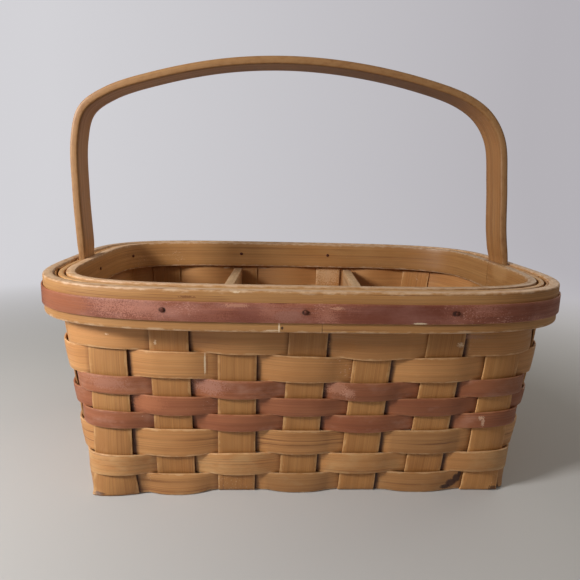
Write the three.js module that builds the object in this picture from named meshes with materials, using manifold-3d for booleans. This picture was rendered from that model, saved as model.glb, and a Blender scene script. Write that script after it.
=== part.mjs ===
// Woven splint caddy: a tapered basket of flat wooden strips with lapped rim hoops,
// a fixed bentwood handle and two divider boards. Millimetres, +Z up, front towards -Y.
// The origin is at the middle of the underside.
import * as THREE from "three";
import { mergeVertices } from "three/addons/utils/BufferGeometryUtils.js";
import Module from "manifold-3d";

const wasm = await Module();
wasm.setup();

// Rim outline, measured outside the accent band
const rimHalfWidth = 181.2;
const rimHalfDepth = 129.9;
const rimSquareness = 3.9;
const rimTop = 140.5;

// Layers of the rim from outside to inside, each after the gap that parts it from the last
const gap = 0.3;
const bandThickness = 1.0;
const bandHeight = 11.8;
const bandMiddle = 127.7;
const outerRimThickness = 6.8;
const outerRimHeight = 25;
const stakeThickness = 1.1;
const handleRoom = 6.2;
const handleThickness = 4.8;
const fillerThickness = 3.4;
const fillerBottom = 124;
const fillerTop = 139.8;
const fillerFootRoom = 2;
const innerRimThickness = 5.6;
const innerRimHeight = 23;

// Wall: the outline of its middle surface at the floor and under the rim, square below and rounder above
const wallAtBase = { halfWidth: 139, halfDepth: 105.5, squareness: 48 };
const wallAtRim = { halfWidth: 167, halfDepth: 114.5, squareness: 4.6 };
const earlyRounding = 0.78;
const lateRoundingPower = 4;
const stakeFlareStart = 116;
const stakeFlareMiddle = 118.7;
const stakeFlareEnd = 121.5;
const stakeTop = 139.5;

// Stakes
const crossStakeWidth = 24;
const cornerStakeWidth = 26;
const crossStakeTops = [-126, -88.8, -46.1, -1.5, 40.3, 86.3, 129];
const crossStakeBases = [-122.4, -83.4, -44.7, -5, 34.9, 78, 118.8];
const frontStakeSlant = 3.6;
const longStakeCount = 5;
const longStakeWidth = 24;
const longStakeTopPitch = 39;
const longStakeBasePitch = 36.5;
const floorLower = stakeThickness / 2;
const floorUpper = floorLower + stakeThickness + 0.4;
const crossingRoom = 0.6;
const bendRadius = 1.5;
const bendAngles = [Math.PI / 4, Math.PI / 2];
const wallStart = floorUpper + stakeThickness / 2;
const wallBendHeights = [18, 36, 60, 87];
const flareHeights = [stakeFlareStart, stakeFlareMiddle, stakeFlareEnd];
const wallHeights = [wallStart, ...wallBendHeights, ...flareHeights, stakeTop];
const cornerAcrossSteps = 6;

// The front corners of the floor stand out further than the back ones
const cornerPush = { left: 6, right: 2 };
const pushFromX = 85;
const pushToX = 125;
const pushFromY = 30;
const pushToY = 95;
const pushFromHeight = 5;
const pushToHeight = 75;

// Weaver rows from the floor up: the heights where one row ends and the next begins
const rowEdges = [2.1, 14.2, 28.9, 45.9, 57.4, 68.4, 80.4, 97.8, 115.4];
const rowGap = 0.4;
const weaverThickness = 1.2;
const weaveSwing = 2.85;
const weaveFlatness = 1.4;
const bottomRowTilt = 0.7;
const accentRows = [3, 4, 5];

// Handle: the middle line of the strip, from the left foot over the crown to the right foot
const handleWidth = 27;
const handlePoints = [
  [-168.6, 121.8],
  [-168.6, 145],
  [-170.4, 190],
  [-169.6, 229.8],
  [-163.4, 250.8],
  [-145.8, 263.7],
  [-110, 276],
  [-60, 286.6],
  [-10, 290.2],
  [40, 287.3],
  [90, 278.6],
  [125.8, 267.8],
  [143.7, 256],
  [155.2, 238],
  [160.3, 205],
  [163.6, 168],
  [166.1, 152],
  [168.2, 141.5],
  [168.7, 121.8],
];
// Above the rim the strip is a little stouter than the feet between the hoops
const handleStouter = { thickness: 1.167, width: 1.056, from: 141, to: 152 };
const handleMiddleDepth = 4;
const handleSkew = 0.03;
const handleSteps = 56;

// Divider boards
const dividerThickness = 8;
const dividerMiddles = [-59.3, 51];
const dividerSkew = 0.05; // the boards stand a little askew: x gained per y
const dividerBottom = 2.9;
const dividerTop = 115;
const dividerClearance = 4;

// Brads
const bradHeadRadius = 1.8;
const bradHeadHeight = 0.7;
const bradShankRadius = 0.7;
const bradHoleRadius = 1.1;
const bradSides = 8;
const bradTip = 1.5;
const bradCrownShare = { across: 0.8, up: 0.7 };
const bradEndRoom = 3;
const holeRoom = 2;
const frontBradsX = [-87, -4, 86];
const backBradsX = [-86, 0, 86];
const innerBackBradsX = [-51, 36];
const outerBradHeight = 128.4;
const innerBradHeight = 129.9;
const leftFootBradShift = 5;
const cornerBradY = 78;

// How finely the strips are bent, and where the cut ends of each hoop meet
const stepsPerCrossing = 4;
const cornerSpan = 45;
const cornerSteps = 12;
const endRoom = 0.012;
const rimSteps = 72;
const hoopEndTurn = 0.0012;
const outerRimSeam = -18;
const innerRimSeam = 7;
const bandSeam = 20;
const weldDistance = 1e-4;
const halvings = 40;
const searchOnFront = { low: 0.12 * Math.PI, high: 0.88 * Math.PI };
const searchOnSide = { low: -0.4 * Math.PI, high: 0.4 * Math.PI };

const tanWood = { color: 0xb98a58, roughness: 0.62, metalness: 0 };
const paleWood = { color: 0xc39a68, roughness: 0.66, metalness: 0 };
const roseStain = { color: 0x9a5f48, roughness: 0.6, metalness: 0 };
const darkSteel = { color: 0x5b4a3e, roughness: 0.5, metalness: 0.8 };

const caddy = new THREE.Group();

// A point of a squared oval and its outward normal, with turn going anticlockwise from +X
function outlinePoint(turn, { halfWidth, halfDepth, squareness }) {
  const c = Math.cos(turn);
  const s = Math.sin(turn);
  const alongX = Math.abs(c / halfWidth) ** squareness;
  const alongY = Math.abs(s / halfDepth) ** squareness;
  const size = (alongX + alongY) ** (-1 / squareness);
  const point = new THREE.Vector2(c * size, s * size);
  const normal = new THREE.Vector2(
    (Math.sign(c) * Math.abs(point.x / halfWidth) ** (squareness - 1)) / halfWidth,
    (Math.sign(s) * Math.abs(point.y / halfDepth) ** (squareness - 1)) / halfDepth,
  ).normalize();
  return { point, normal };
}

function rimPoint(turn) {
  return outlinePoint(turn, { halfWidth: rimHalfWidth, halfDepth: rimHalfDepth, squareness: rimSquareness });
}

// The place at a turn and a height that lies a given distance inside the rim outline
function insideRim(turn, height, inset) {
  const { point, normal } = rimPoint(turn);
  return new THREE.Vector3(point.x - normal.x * inset, point.y - normal.y * inset, height);
}

// The wall's outline at a height: its corners round off quickly above the floor and again under the rim
function wallOutline(height) {
  const rise = THREE.MathUtils.clamp(height / stakeFlareStart, 0, 1);
  const rounding = THREE.MathUtils.lerp(rise ** lateRoundingPower, Math.sqrt(rise), earlyRounding);
  const roundness = THREE.MathUtils.lerp(1 / wallAtBase.squareness, 1 / wallAtRim.squareness, rounding);
  return {
    halfWidth: THREE.MathUtils.lerp(wallAtBase.halfWidth, wallAtRim.halfWidth, rise),
    halfDepth: THREE.MathUtils.lerp(wallAtBase.halfDepth, wallAtRim.halfDepth, rise),
    squareness: 1 / roundness,
  };
}

// A place on the wall, a distance out from its middle surface, before a corner is pushed out
function plainWall(turn, height, out) {
  const { point, normal } = outlinePoint(turn, wallOutline(height));
  const wall = new THREE.Vector3(point.x + normal.x * out, point.y + normal.y * out, height);
  const captured = bandThickness + gap + outerRimThickness + gap + stakeThickness / 2;
  const flare = THREE.MathUtils.smoothstep(height, stakeFlareStart, stakeFlareEnd);
  return wall.lerp(insideRim(turn, height, captured - out), flare);
}

// Moves a place near a front corner of the floor outwards
function pushed(place) {
  const push = place.x < 0 ? cornerPush.left : cornerPush.right;
  const acrossX = THREE.MathUtils.smoothstep(Math.abs(place.x), pushFromX, pushToX);
  const acrossY = THREE.MathUtils.smoothstep(-place.y, pushFromY, pushToY);
  const fade = 1 - THREE.MathUtils.smoothstep(place.z, pushFromHeight, pushToHeight);
  place.y -= push * acrossX * acrossY * fade;
  return place;
}

function onWall(turn, height, out) {
  return pushed(plainWall(turn, height, out));
}

// The turn at which an outline reaches an x (front or back) or a y (sides); placeAt(turn) gives its places
function turnWhere(axis, value, side, placeAt) {
  let { low, high } = axis === "x" ? searchOnFront : searchOnSide;
  for (let i = 0; i < halvings; i += 1) {
    const middle = (low + high) / 2;
    const place = placeAt(middle);
    const tooLow = axis === "x" ? place.x > value : place.y < value;
    if (tooLow) low = middle;
    else high = middle;
  }
  const turn = (low + high) / 2;
  if (axis === "x") return side < 0 ? -turn : turn;
  return side < 0 ? Math.PI - turn : turn;
}

function rimTurnWhere(axis, value, side, inset) {
  return turnWhere(axis, value, side, (turn) => insideRim(turn, 0, inset));
}

// The turn of one lengthwise line of a stake on a wall, at a height
function stakeTurn(stake, side, across, height) {
  const middle = THREE.MathUtils.lerp(stake.base, stake.top[side], height / stakeTop);
  return turnWhere(stake.axis, middle + across, side, (turn) => plainWall(turn, height, 0));
}

// A straight strip bent to a path: place(along 0..1, across, out) gives each corner's position
function bentStrip(steps, width, thickness, acrossSteps, place) {
  const strip = new THREE.BoxGeometry(1, width, thickness, steps, acrossSteps, 1);
  strip.deleteAttribute("normal");
  strip.deleteAttribute("uv");
  const position = strip.getAttribute("position");
  for (let i = 0; i < position.count; i += 1) {
    const corner = place(position.getX(i) + 0.5, position.getY(i), position.getZ(i));
    position.setXYZ(i, corner.x, corner.y, corner.z);
  }
  return mergeVertices(strip, weldDistance);
}

function solidFrom(geometry) {
  const vertProperties = new Float32Array(geometry.getAttribute("position").array);
  const triVerts = new Uint32Array(geometry.index.array);
  return new wasm.Manifold(new wasm.Mesh({ numProp: 3, vertProperties, triVerts }));
}

function geometryFrom(solid) {
  const mesh = solid.getMesh();
  const geometry = new THREE.BufferGeometry();
  geometry.setAttribute("position", new THREE.BufferAttribute(mesh.vertProperties, 3));
  geometry.setIndex(new THREE.BufferAttribute(mesh.triVerts, 1));
  geometry.computeVertexNormals();
  return geometry;
}

function turnedOut(geometry) {
  if (solidFrom(geometry).volume() > 0) return geometry;
  const index = geometry.index.array;
  for (let i = 0; i < index.length; i += 3) {
    const swapped = index[i + 1];
    index[i + 1] = index[i + 2];
    index[i + 2] = swapped;
  }
  return geometry;
}

function addPiece(name, geometry, finish) {
  const outward = turnedOut(geometry);
  outward.computeVertexNormals();
  const piece = new THREE.Mesh(outward, new THREE.MeshStandardMaterial(finish));
  piece.name = name;
  caddy.add(piece);
}

// Brads: each is driven in from a face of the rim, along the inward normal there
function bradAt(turn, height, fromOutside) {
  const inset = fromOutside ? 0 : totalRimDepth();
  const { normal } = rimPoint(turn);
  const into = new THREE.Vector3(normal.x, normal.y, 0).multiplyScalar(fromOutside ? -1 : 1);
  return { foot: insideRim(turn, height, inset), into };
}

function totalRimDepth() {
  return bandThickness + outerRimThickness + stakeThickness + handleRoom + innerRimThickness + 2 * gap;
}

// Stands a lathe profile, made along +Y, on a brad's seat with +Y pointing out of the rim
function alongBrad(geometry, brad) {
  const outOfRim = brad.into.clone().negate();
  geometry.applyQuaternion(new THREE.Quaternion().setFromUnitVectors(new THREE.Vector3(0, 1, 0), outOfRim));
  geometry.translate(brad.foot.x, brad.foot.y, brad.foot.z);
  geometry.deleteAttribute("normal");
  geometry.deleteAttribute("uv");
  return mergeVertices(geometry, weldDistance);
}

function bradGeometry(brad) {
  const length = totalRimDepth() - bradEndRoom;
  const profile = [
    new THREE.Vector2(0, -length),
    new THREE.Vector2(bradShankRadius, -length + bradTip),
    new THREE.Vector2(bradShankRadius, gap),
    new THREE.Vector2(bradHeadRadius, gap),
    new THREE.Vector2(bradHeadRadius * bradCrownShare.across, gap + bradHeadHeight * bradCrownShare.up),
    new THREE.Vector2(0, gap + bradHeadHeight),
  ];
  return alongBrad(new THREE.LatheGeometry(profile, bradSides), brad);
}

function bradHole(brad) {
  const profile = [
    new THREE.Vector2(0, -totalRimDepth() - holeRoom),
    new THREE.Vector2(bradHoleRadius, -totalRimDepth() - holeRoom),
    new THREE.Vector2(bradHoleRadius, holeRoom),
    new THREE.Vector2(0, holeRoom),
  ];
  return solidFrom(turnedOut(alongBrad(new THREE.LatheGeometry(profile, bradSides), brad)));
}

// A piece with a clearance hole for every brad
function drilled(geometry) {
  let solid = solidFrom(turnedOut(geometry));
  for (const brad of Object.values(brads)) solid = solid.subtract(bradHole(brad));
  return geometryFrom(solid);
}

function placeBrads() {
  const rimInset = totalRimDepth();
  const placed = {};
  frontBradsX.forEach((x, i) => {
    placed[`rim_brad_front_${i + 1}`] = bradAt(rimTurnWhere("x", x, -1, 0), outerBradHeight, true);
  });
  backBradsX.forEach((x, i) => {
    placed[`rim_brad_back_${i + 1}`] = bradAt(rimTurnWhere("x", x, 1, 0), outerBradHeight, true);
  });
  innerBackBradsX.forEach((x, i) => {
    placed[`inner_brad_back_${i + 1}`] = bradAt(rimTurnWhere("x", x, 1, rimInset), innerBradHeight, false);
  });
  const leftTurn = rimTurnWhere("y", footDepth(-1) + leftFootBradShift, -1, rimInset);
  placed.handle_brad_left = bradAt(leftTurn, innerBradHeight, false);
  placed.handle_brad_right = bradAt(rimTurnWhere("y", footDepth(1), 1, 0), outerBradHeight, true);
  placed.inner_brad_corner = bradAt(rimTurnWhere("y", cornerBradY, -1, rimInset), innerBradHeight, false);
  return placed;
}

// The y of the middle of the handle's left (-1) or right (1) foot
function footDepth(side) {
  return handleMiddleDepth + side * handleSkew * rimHalfWidth;
}

// Turns that crowd together at the corners of the rim outline, as an even step goes round
function cornerTurn(step) {
  const x = rimHalfWidth * Math.sign(Math.cos(step)) * Math.abs(Math.cos(step)) ** (2 / rimSquareness);
  const y = rimHalfDepth * Math.sign(Math.sin(step)) * Math.abs(Math.sin(step)) ** (2 / rimSquareness);
  const turn = Math.atan2(y, x);
  return turn + 2 * Math.PI * Math.round((step - turn) / (2 * Math.PI));
}

function cornerStep(turn) {
  const { point } = rimPoint(turn);
  const x = Math.sign(point.x) * Math.abs(point.x / rimHalfWidth) ** (rimSquareness / 2);
  const y = Math.sign(point.y) * Math.abs(point.y / rimHalfDepth) ** (rimSquareness / 2);
  const step = Math.atan2(y, x);
  return step + 2 * Math.PI * Math.round((turn - step) / (2 * Math.PI));
}

// A hoop of the rim, whose cut ends meet at one of the even steps round it
function hoop(fromInset, thickness, bottom, top, seamStep) {
  const middle = (bottom + top) / 2;
  const depth = fromInset + thickness / 2;
  return bentStrip(rimSteps, top - bottom, thickness, 1, (along, across, out) => {
    const step = Math.round(along * rimSteps);
    const turn = cornerTurn(((seamStep + step) / rimSteps) * 2 * Math.PI);
    let endTurn = 0;
    if (step === 0) endTurn = hoopEndTurn;
    if (step === rimSteps) endTurn = -hoopEndTurn;
    return insideRim(turn + endTurn, middle + across, depth - out);
  });
}

// Half of the filler, anticlockwise from one handle foot to the other: round the front (-1) or the back (1)
function fillerHalf(side) {
  const depth = bandThickness + outerRimThickness + stakeThickness + 2 * gap + handleRoom / 2;
  const footRoom = side * (handleWidth / 2 + fillerFootRoom);
  const leftTurn = rimTurnWhere("y", footDepth(-1) + footRoom, -1, depth);
  const rightTurn = rimTurnWhere("y", footDepth(1) + footRoom, 1, depth);
  const fromStep = cornerStep(side < 0 ? leftTurn : rightTurn);
  const toStep = cornerStep(side < 0 ? rightTurn + 2 * Math.PI : leftTurn);
  const middle = (fillerBottom + fillerTop) / 2;
  return bentStrip(rimSteps / 2, fillerTop - fillerBottom, fillerThickness, 1, (along, across, out) => {
    const turn = cornerTurn(THREE.MathUtils.lerp(fromStep, toStep, along));
    return insideRim(turn, middle + across, depth - out);
  });
}

// Stakes: cross stakes run front to back, long stakes side to side
function crossStakes() {
  const stakes = [];
  crossStakeTops.forEach((top, i) => {
    const atCorner = i === 0 || i === crossStakeTops.length - 1;
    const slant = atCorner ? 0 : frontStakeSlant;
    stakes.push({
      name: `cross_stake_${i + 1}`,
      axis: "x",
      width: atCorner ? cornerStakeWidth : crossStakeWidth,
      base: crossStakeBases[i],
      top: { "-1": top + slant / 2, 1: top - slant / 2 },
      number: i,
      atCorner,
    });
  });
  return stakes;
}

function longStakes() {
  const stakes = [];
  const last = (longStakeCount - 1) / 2;
  for (let i = 0; i < longStakeCount; i += 1) {
    const step = i - last;
    const top = step * longStakeTopPitch;
    stakes.push({
      name: `long_stake_${i + 1}`,
      axis: "y",
      width: longStakeWidth,
      base: step * longStakeBasePitch,
      top: { "-1": top, 1: top },
      number: i,
      atCorner: Math.abs(step) === last,
    });
  }
  return stakes;
}

// Where a stake goes over and under the stakes it crosses in the floor, from one wall to the other
function floorStations(stake) {
  const acrossX = stake.axis === "x";
  const middles = acrossX ? longStakes().map((other) => other.base) : crossStakeBases;
  const halfFlat = (acrossX ? longStakeWidth : crossStakeWidth) / 2 + crossingRoom;
  return middles.flatMap((middle, i) => {
    const over = (i + stake.number) % 2 === (acrossX ? 0 : 1);
    const height = over ? floorUpper : floorLower;
    return [-halfFlat, halfFlat].map((aside) => ({ part: "floor", run: middle + aside, height }));
  });
}

// The stations of a stake: down one wall, round the bend, across the floor and up the other wall
function stakeStations(stake) {
  const wall = (side) => wallHeights.map((height) => ({ part: "wall", side, height }));
  const bend = (side) => bendAngles.map((angle) => ({ part: "bend", side, angle }));
  return [...wall(-1).reverse(), ...bend(-1), ...floorStations(stake), ...bend(1).reverse(), ...wall(1)];
}

function stakePlace(stake, station, across, out) {
  const { side } = station;
  if (station.part === "wall") {
    return onWall(stakeTurn(stake, side, across, station.height), station.height, out);
  }
  const edge = plainWall(stakeTurn(stake, side ?? 1, across, 0), 0, 0);
  const line = stake.axis === "x" ? edge.x : edge.y;
  if (station.part === "floor") return alongStake(stake, line, station.run, station.height - out);
  const reach = Math.abs(stake.axis === "x" ? edge.y : edge.x);
  const radius = bendRadius + out;
  const run = side * (reach - bendRadius + radius * Math.cos(station.angle));
  return alongStake(stake, line, run, floorLower + bendRadius - radius * Math.sin(station.angle));
}

function alongStake(stake, line, run, height) {
  if (stake.axis === "x") return pushed(new THREE.Vector3(line, run, height));
  return pushed(new THREE.Vector3(run, line, height));
}

function stakeGeometry(stake) {
  const stations = stakeStations(stake);
  const steps = stations.length - 1;
  const acrossSteps = stake.atCorner ? cornerAcrossSteps : 1;
  return bentStrip(steps, stake.width, stakeThickness, acrossSteps, (along, across, out) =>
    stakePlace(stake, stations[Math.round(along * steps)], across, out),
  );
}

// Every stake's crossing in order round the wall at a height, as turns from 0 to a full turn
function crossings(stakes, height) {
  const turns = [];
  for (const stake of stakes) {
    for (const side of [-1, 1]) {
      const turn = stakeTurn(stake, side, 0, height);
      turns.push((turn + 2 * Math.PI) % (2 * Math.PI));
    }
  }
  return turns.sort((a, b) => a - b);
}

// The turn at a phase, where whole phases are the stakes' crossings
function turnAtPhase(turns, phase) {
  const count = turns.length;
  const from = Math.floor(phase);
  const turnOf = (i) => turns[((i % count) + count) % count] + Math.floor(i / count) * 2 * Math.PI;
  return THREE.MathUtils.lerp(turnOf(from), turnOf(from + 1), phase - from);
}

// The phases at which a weaver is bent, closer together where it turns a corner of the basket
function bendPhases(turns, seam, height) {
  const phases = [];
  for (let i = 0; i < turns.length; i += 1) {
    const here = onWall(turnAtPhase(turns, seam + i), height, 0);
    const next = onWall(turnAtPhase(turns, seam + i + 1), height, 0);
    const steps = here.distanceTo(next) > cornerSpan ? cornerSteps : stepsPerCrossing;
    for (let k = 0; k < steps; k += 1) phases.push(seam + i + k / steps);
  }
  phases.push(seam + turns.length);
  return phases;
}

// How far out a row swings at a phase, from -1 (inside a stake) to 1, where whole phases are crossings
function swingOf(row, phaseFromFront) {
  const frontSign = row % 2 === 1 ? -1 : 1;
  const wave = weaveFlatness * Math.cos(Math.PI * phaseFromFront);
  return frontSign * THREE.MathUtils.clamp(wave, -1, 1);
}

// The phase of the crossing at the middle of the front
function frontPhase(turns, stakes, height) {
  const middleStake = stakes[(crossStakeTops.length - 1) / 2];
  const frontTurn = stakeTurn(middleStake, -1, 0, height) + 2 * Math.PI;
  const distances = turns.map((turn) => Math.abs(turn - frontTurn));
  return distances.indexOf(Math.min(...distances));
}

// A weaver row: one strip round the wall, over one stake and under the next, its ends behind a back stake
function weaverGeometry(row, stakes) {
  const rows = rowEdges.length - 1;
  const bottom = rowEdges[rows - row] + rowGap / 2;
  const top = rowEdges[rows - row + 1] - rowGap / 2;
  const middle = (bottom + top) / 2;
  const turns = crossings(stakes, middle);
  const front = frontPhase(turns, stakes, middle);
  const back = front - turns.length / 2 + (row % 4) - 1;
  const seam = swingOf(row, back - front) < 0 ? back : back + 1;
  const phases = bendPhases(turns, seam, middle);
  phases[0] += endRoom;
  phases[phases.length - 1] -= endRoom;
  const tilt = row === rows ? bottomRowTilt : 0;
  return bentStrip(phases.length - 1, top - bottom, weaverThickness, 1, (along, across, out) => {
    const phase = phases[Math.round(along * (phases.length - 1))];
    const swing = swingOf(row, phase - front);
    return onWall(turnAtPhase(turns, phase), middle + across - tilt * swing, weaveSwing * swing + out);
  });
}

// A divider board, narrower at the bottom like the basket
function divider(middle) {
  const halfAt = (height) => wallOutline(height).halfDepth - dividerClearance;
  const outline = new THREE.Shape();
  outline.moveTo(-halfAt(dividerBottom), dividerBottom);
  outline.lineTo(halfAt(dividerBottom), dividerBottom);
  outline.lineTo(halfAt(dividerTop), dividerTop);
  outline.lineTo(-halfAt(dividerTop), dividerTop);
  outline.closePath();
  const board = new THREE.ExtrudeGeometry(outline, { depth: dividerThickness, bevelEnabled: false });
  board.rotateX(Math.PI / 2);
  board.rotateZ(Math.PI / 2);
  board.translate(middle - dividerThickness / 2, 0, 0);
  board.applyMatrix4(new THREE.Matrix4().makeShear(0, 0, dividerSkew, 0, 0, 0));
  board.deleteAttribute("normal");
  board.deleteAttribute("uv");
  return mergeVertices(board, weldDistance);
}

function handleGeometry() {
  const points = handlePoints.map(([x, z]) => new THREE.Vector3(x, handleMiddleDepth + handleSkew * x, z));
  const path = new THREE.CatmullRomCurve3(points, false, "centripetal");
  const sideways = new THREE.Vector3(-handleSkew, 1, 0).normalize();
  return bentStrip(handleSteps, handleWidth, handleThickness, 1, (along, across, out) => {
    const outward = path.getTangentAt(along).cross(sideways).normalize();
    const place = path.getPointAt(along);
    const risen = THREE.MathUtils.smoothstep(place.z, handleStouter.from, handleStouter.to);
    place.addScaledVector(sideways, across * THREE.MathUtils.lerp(1, handleStouter.width, risen));
    return place.addScaledVector(outward, out * THREE.MathUtils.lerp(1, handleStouter.thickness, risen));
  });
}

const brads = placeBrads();
const stakes = [...crossStakes(), ...longStakes()];
stakes.forEach((stake) => addPiece(stake.name, drilled(stakeGeometry(stake)), paleWood));

for (let row = 1; row < rowEdges.length; row += 1) {
  const finish = accentRows.includes(row) ? roseStain : tanWood;
  addPiece(`weaver_row_${row}`, weaverGeometry(row, stakes), finish);
}

const outerRim = hoop(bandThickness + gap, outerRimThickness, rimTop - outerRimHeight, rimTop, outerRimSeam);
addPiece("outer_rim", drilled(outerRim), tanWood);

const band = hoop(0, bandThickness, bandMiddle - bandHeight / 2, bandMiddle + bandHeight / 2, bandSeam);
addPiece("rim_accent_band", drilled(band), roseStain);

const innerRimInset = totalRimDepth() - innerRimThickness;
const innerRim = hoop(innerRimInset, innerRimThickness, rimTop - innerRimHeight, rimTop, innerRimSeam);
addPiece("inner_rim", drilled(innerRim), tanWood);

addPiece("rim_filler_front", drilled(fillerHalf(-1)), paleWood);
addPiece("rim_filler_back", drilled(fillerHalf(1)), paleWood);
addPiece("handle", drilled(handleGeometry()), tanWood);

const [leftMiddle, rightMiddle] = dividerMiddles;
addPiece("divider_left", divider(leftMiddle), paleWood);
addPiece("divider_right", divider(rightMiddle), paleWood);

Object.entries(brads).forEach(([name, brad]) => addPiece(name, bradGeometry(brad), darkSteel));

export default caddy;
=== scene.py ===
import functools
import math
import random

import bmesh
import bpy
from mathutils import Matrix, Vector, noise


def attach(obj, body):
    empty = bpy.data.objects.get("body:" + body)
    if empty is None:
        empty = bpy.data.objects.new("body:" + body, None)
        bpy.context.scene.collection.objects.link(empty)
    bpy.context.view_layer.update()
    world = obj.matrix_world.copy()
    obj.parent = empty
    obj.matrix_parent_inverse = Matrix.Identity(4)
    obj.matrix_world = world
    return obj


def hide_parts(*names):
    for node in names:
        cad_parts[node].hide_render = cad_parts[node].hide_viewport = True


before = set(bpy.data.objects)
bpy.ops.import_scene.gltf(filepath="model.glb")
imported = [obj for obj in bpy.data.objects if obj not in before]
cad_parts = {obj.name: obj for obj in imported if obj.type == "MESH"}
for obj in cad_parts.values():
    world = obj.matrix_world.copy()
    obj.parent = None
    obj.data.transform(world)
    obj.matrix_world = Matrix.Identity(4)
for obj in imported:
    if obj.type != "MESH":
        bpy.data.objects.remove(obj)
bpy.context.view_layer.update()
print("frame loaded,", len(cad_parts), "nodes")

mm = 0.001
fullTurn = 2 * math.pi


def putIn(thing):  # puts an object into the scene
    bpy.context.scene.collection.objects.link(thing)
    return thing


# Camera, solved from the rim, the base line and the stakes

cameraSetup = {
    "place": (-29.975 * mm, -432.607 * mm, 202.745 * mm),
    "yaw": -0.0532,
    "pitch": -0.1991,
    "roll": -0.0261,
    "focalPixels": 540,
    "framePixels": 580,
    "sensor": 36,
    "nearest": 10 * mm,
}


def makeCamera():
    setup = cameraSetup
    data = bpy.data.cameras.new("camera")
    data.sensor_width = setup["sensor"]
    data.lens = setup["focalPixels"] / setup["framePixels"] * setup["sensor"]
    data.clip_start = setup["nearest"]
    camera = putIn(bpy.data.objects.new("camera", data))
    turn = Matrix.Rotation(setup["yaw"], 4, "Z") @ Matrix.Rotation(setup["pitch"], 4, "X")
    turn = turn @ Matrix.Rotation(setup["roll"], 4, "Y") @ Matrix.Rotation(math.pi / 2, 4, "X")
    camera.matrix_world = Matrix.Translation(setup["place"]) @ turn
    bpy.context.scene.camera = camera


makeCamera()
print("camera set")

# Shader helpers


def tint(red, green, blue):  # a colour read off a screen, as the shaders want it
    def linear(level):
        level = level / 255
        return level / 12.92 if level <= 0.04045 else ((level + 0.055) / 1.055) ** 2.4

    return (linear(red), linear(green), linear(blue), 1)


def feed(tree, value, socket):
    if isinstance(value, bpy.types.NodeSocket):
        tree.links.new(value, socket)
    else:
        socket.default_value = value


def maths(tree, operation, *values, kind="Math"):
    node = tree.nodes.new("ShaderNode" + kind)
    node.operation = operation
    for value, socket in zip(values, node.inputs):
        feed(tree, value, socket)
    return node.outputs["Value" if operation == "LENGTH" else 0]


def times(tree, first, second):
    return maths(tree, "MULTIPLY", first, second)


def remap(tree, value, fromLow, fromHigh, toLow=0.0, toHigh=1.0):
    node = tree.nodes.new("ShaderNodeMapRange")
    node.clamp = True
    for index, item in enumerate((value, fromLow, fromHigh, toLow, toHigh)):
        feed(tree, item, node.inputs[index])
    return node.outputs[0]


def cloud(tree, vector, scale, detail=2.0, roughness=0.5, stretch=None):
    if stretch:
        vector = maths(tree, "MULTIPLY", vector, stretch, kind="VectorMath")
    node = tree.nodes.new("ShaderNodeTexNoise")
    settings = {"Vector": vector, "Scale": scale, "Detail": detail, "Roughness": roughness}
    for label, value in settings.items():
        feed(tree, value, node.inputs[label])
    return node.outputs["Fac"]


def wander(tree, *settings):  # a cloud about zero
    return maths(tree, "SUBTRACT", cloud(tree, *settings), 0.5)


def blendColours(tree, amount, first, second, kind="MIX"):
    node = tree.nodes.new("ShaderNodeMix")
    node.data_type = "RGBA"
    node.blend_type = kind
    node.clamp_factor = True
    feed(tree, amount, node.inputs["Factor"])
    feed(tree, first, node.inputs["A"])
    feed(tree, second, node.inputs["B"])
    return node.outputs["Result"]


def lay(tree, colour, shade, mask, strength):  # a shade over the colour where the mask is
    return blendColours(tree, times(tree, mask, strength), colour, tint(*shade))


def newGroup(name, inputs, outputs):  # inputs: default by label, beside the vector that every group reads
    group = bpy.data.node_groups.new(name, "ShaderNodeTree")
    for label, value in {"Vector": (0, 0, 0), **inputs}.items():
        kind = "NodeSocketVector" if isinstance(value, tuple) else "NodeSocketFloat"
        socket = group.interface.new_socket(name=label, in_out="INPUT", socket_type=kind)
        socket.default_value = value
    for label in outputs:
        group.interface.new_socket(name=label, in_out="OUTPUT", socket_type="NodeSocketFloat")
    return group, group.nodes.new("NodeGroupInput").outputs, group.nodes.new("NodeGroupOutput").inputs


def useGroup(tree, group, **values):
    node = tree.nodes.new("ShaderNodeGroup")
    node.node_tree = group
    for socket in node.inputs:
        key = socket.name[0].lower() + socket.name[1:].replace(" ", "")
        if key in values:
            feed(tree, values[key], socket)
    return node.outputs


# each noise: scale where the group has no socket for it, detail, roughness, stretch
grainShape = {
    "sway": (1.0, 1.0, 0.5, (9, 60, 60)),  # bends the lines
    "breaks": (1.0, 2.0, 0.5, (28, 90, 90)),  # breaks them off
    "breakDepth": 0.35,
    "streaks": (4.0, 0.62),
    "lines": (3.0, 0.55, (0.9, 2.8, 2.8)),
    "fibres": (3.0, 0.7, (1.0, 6.0, 6.0)),
    "pores": (2.0, 0.6, (3.0, 3.2, 3.2)),
    "levels": {"streaks": (0.32, 0.7), "lines": (0.58, 0.7), "pores": (0.62, 0.74)},
    "relief": {"streaks": 0.6, "fibres": 0.5, "pores": 0.4},
}


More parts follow.
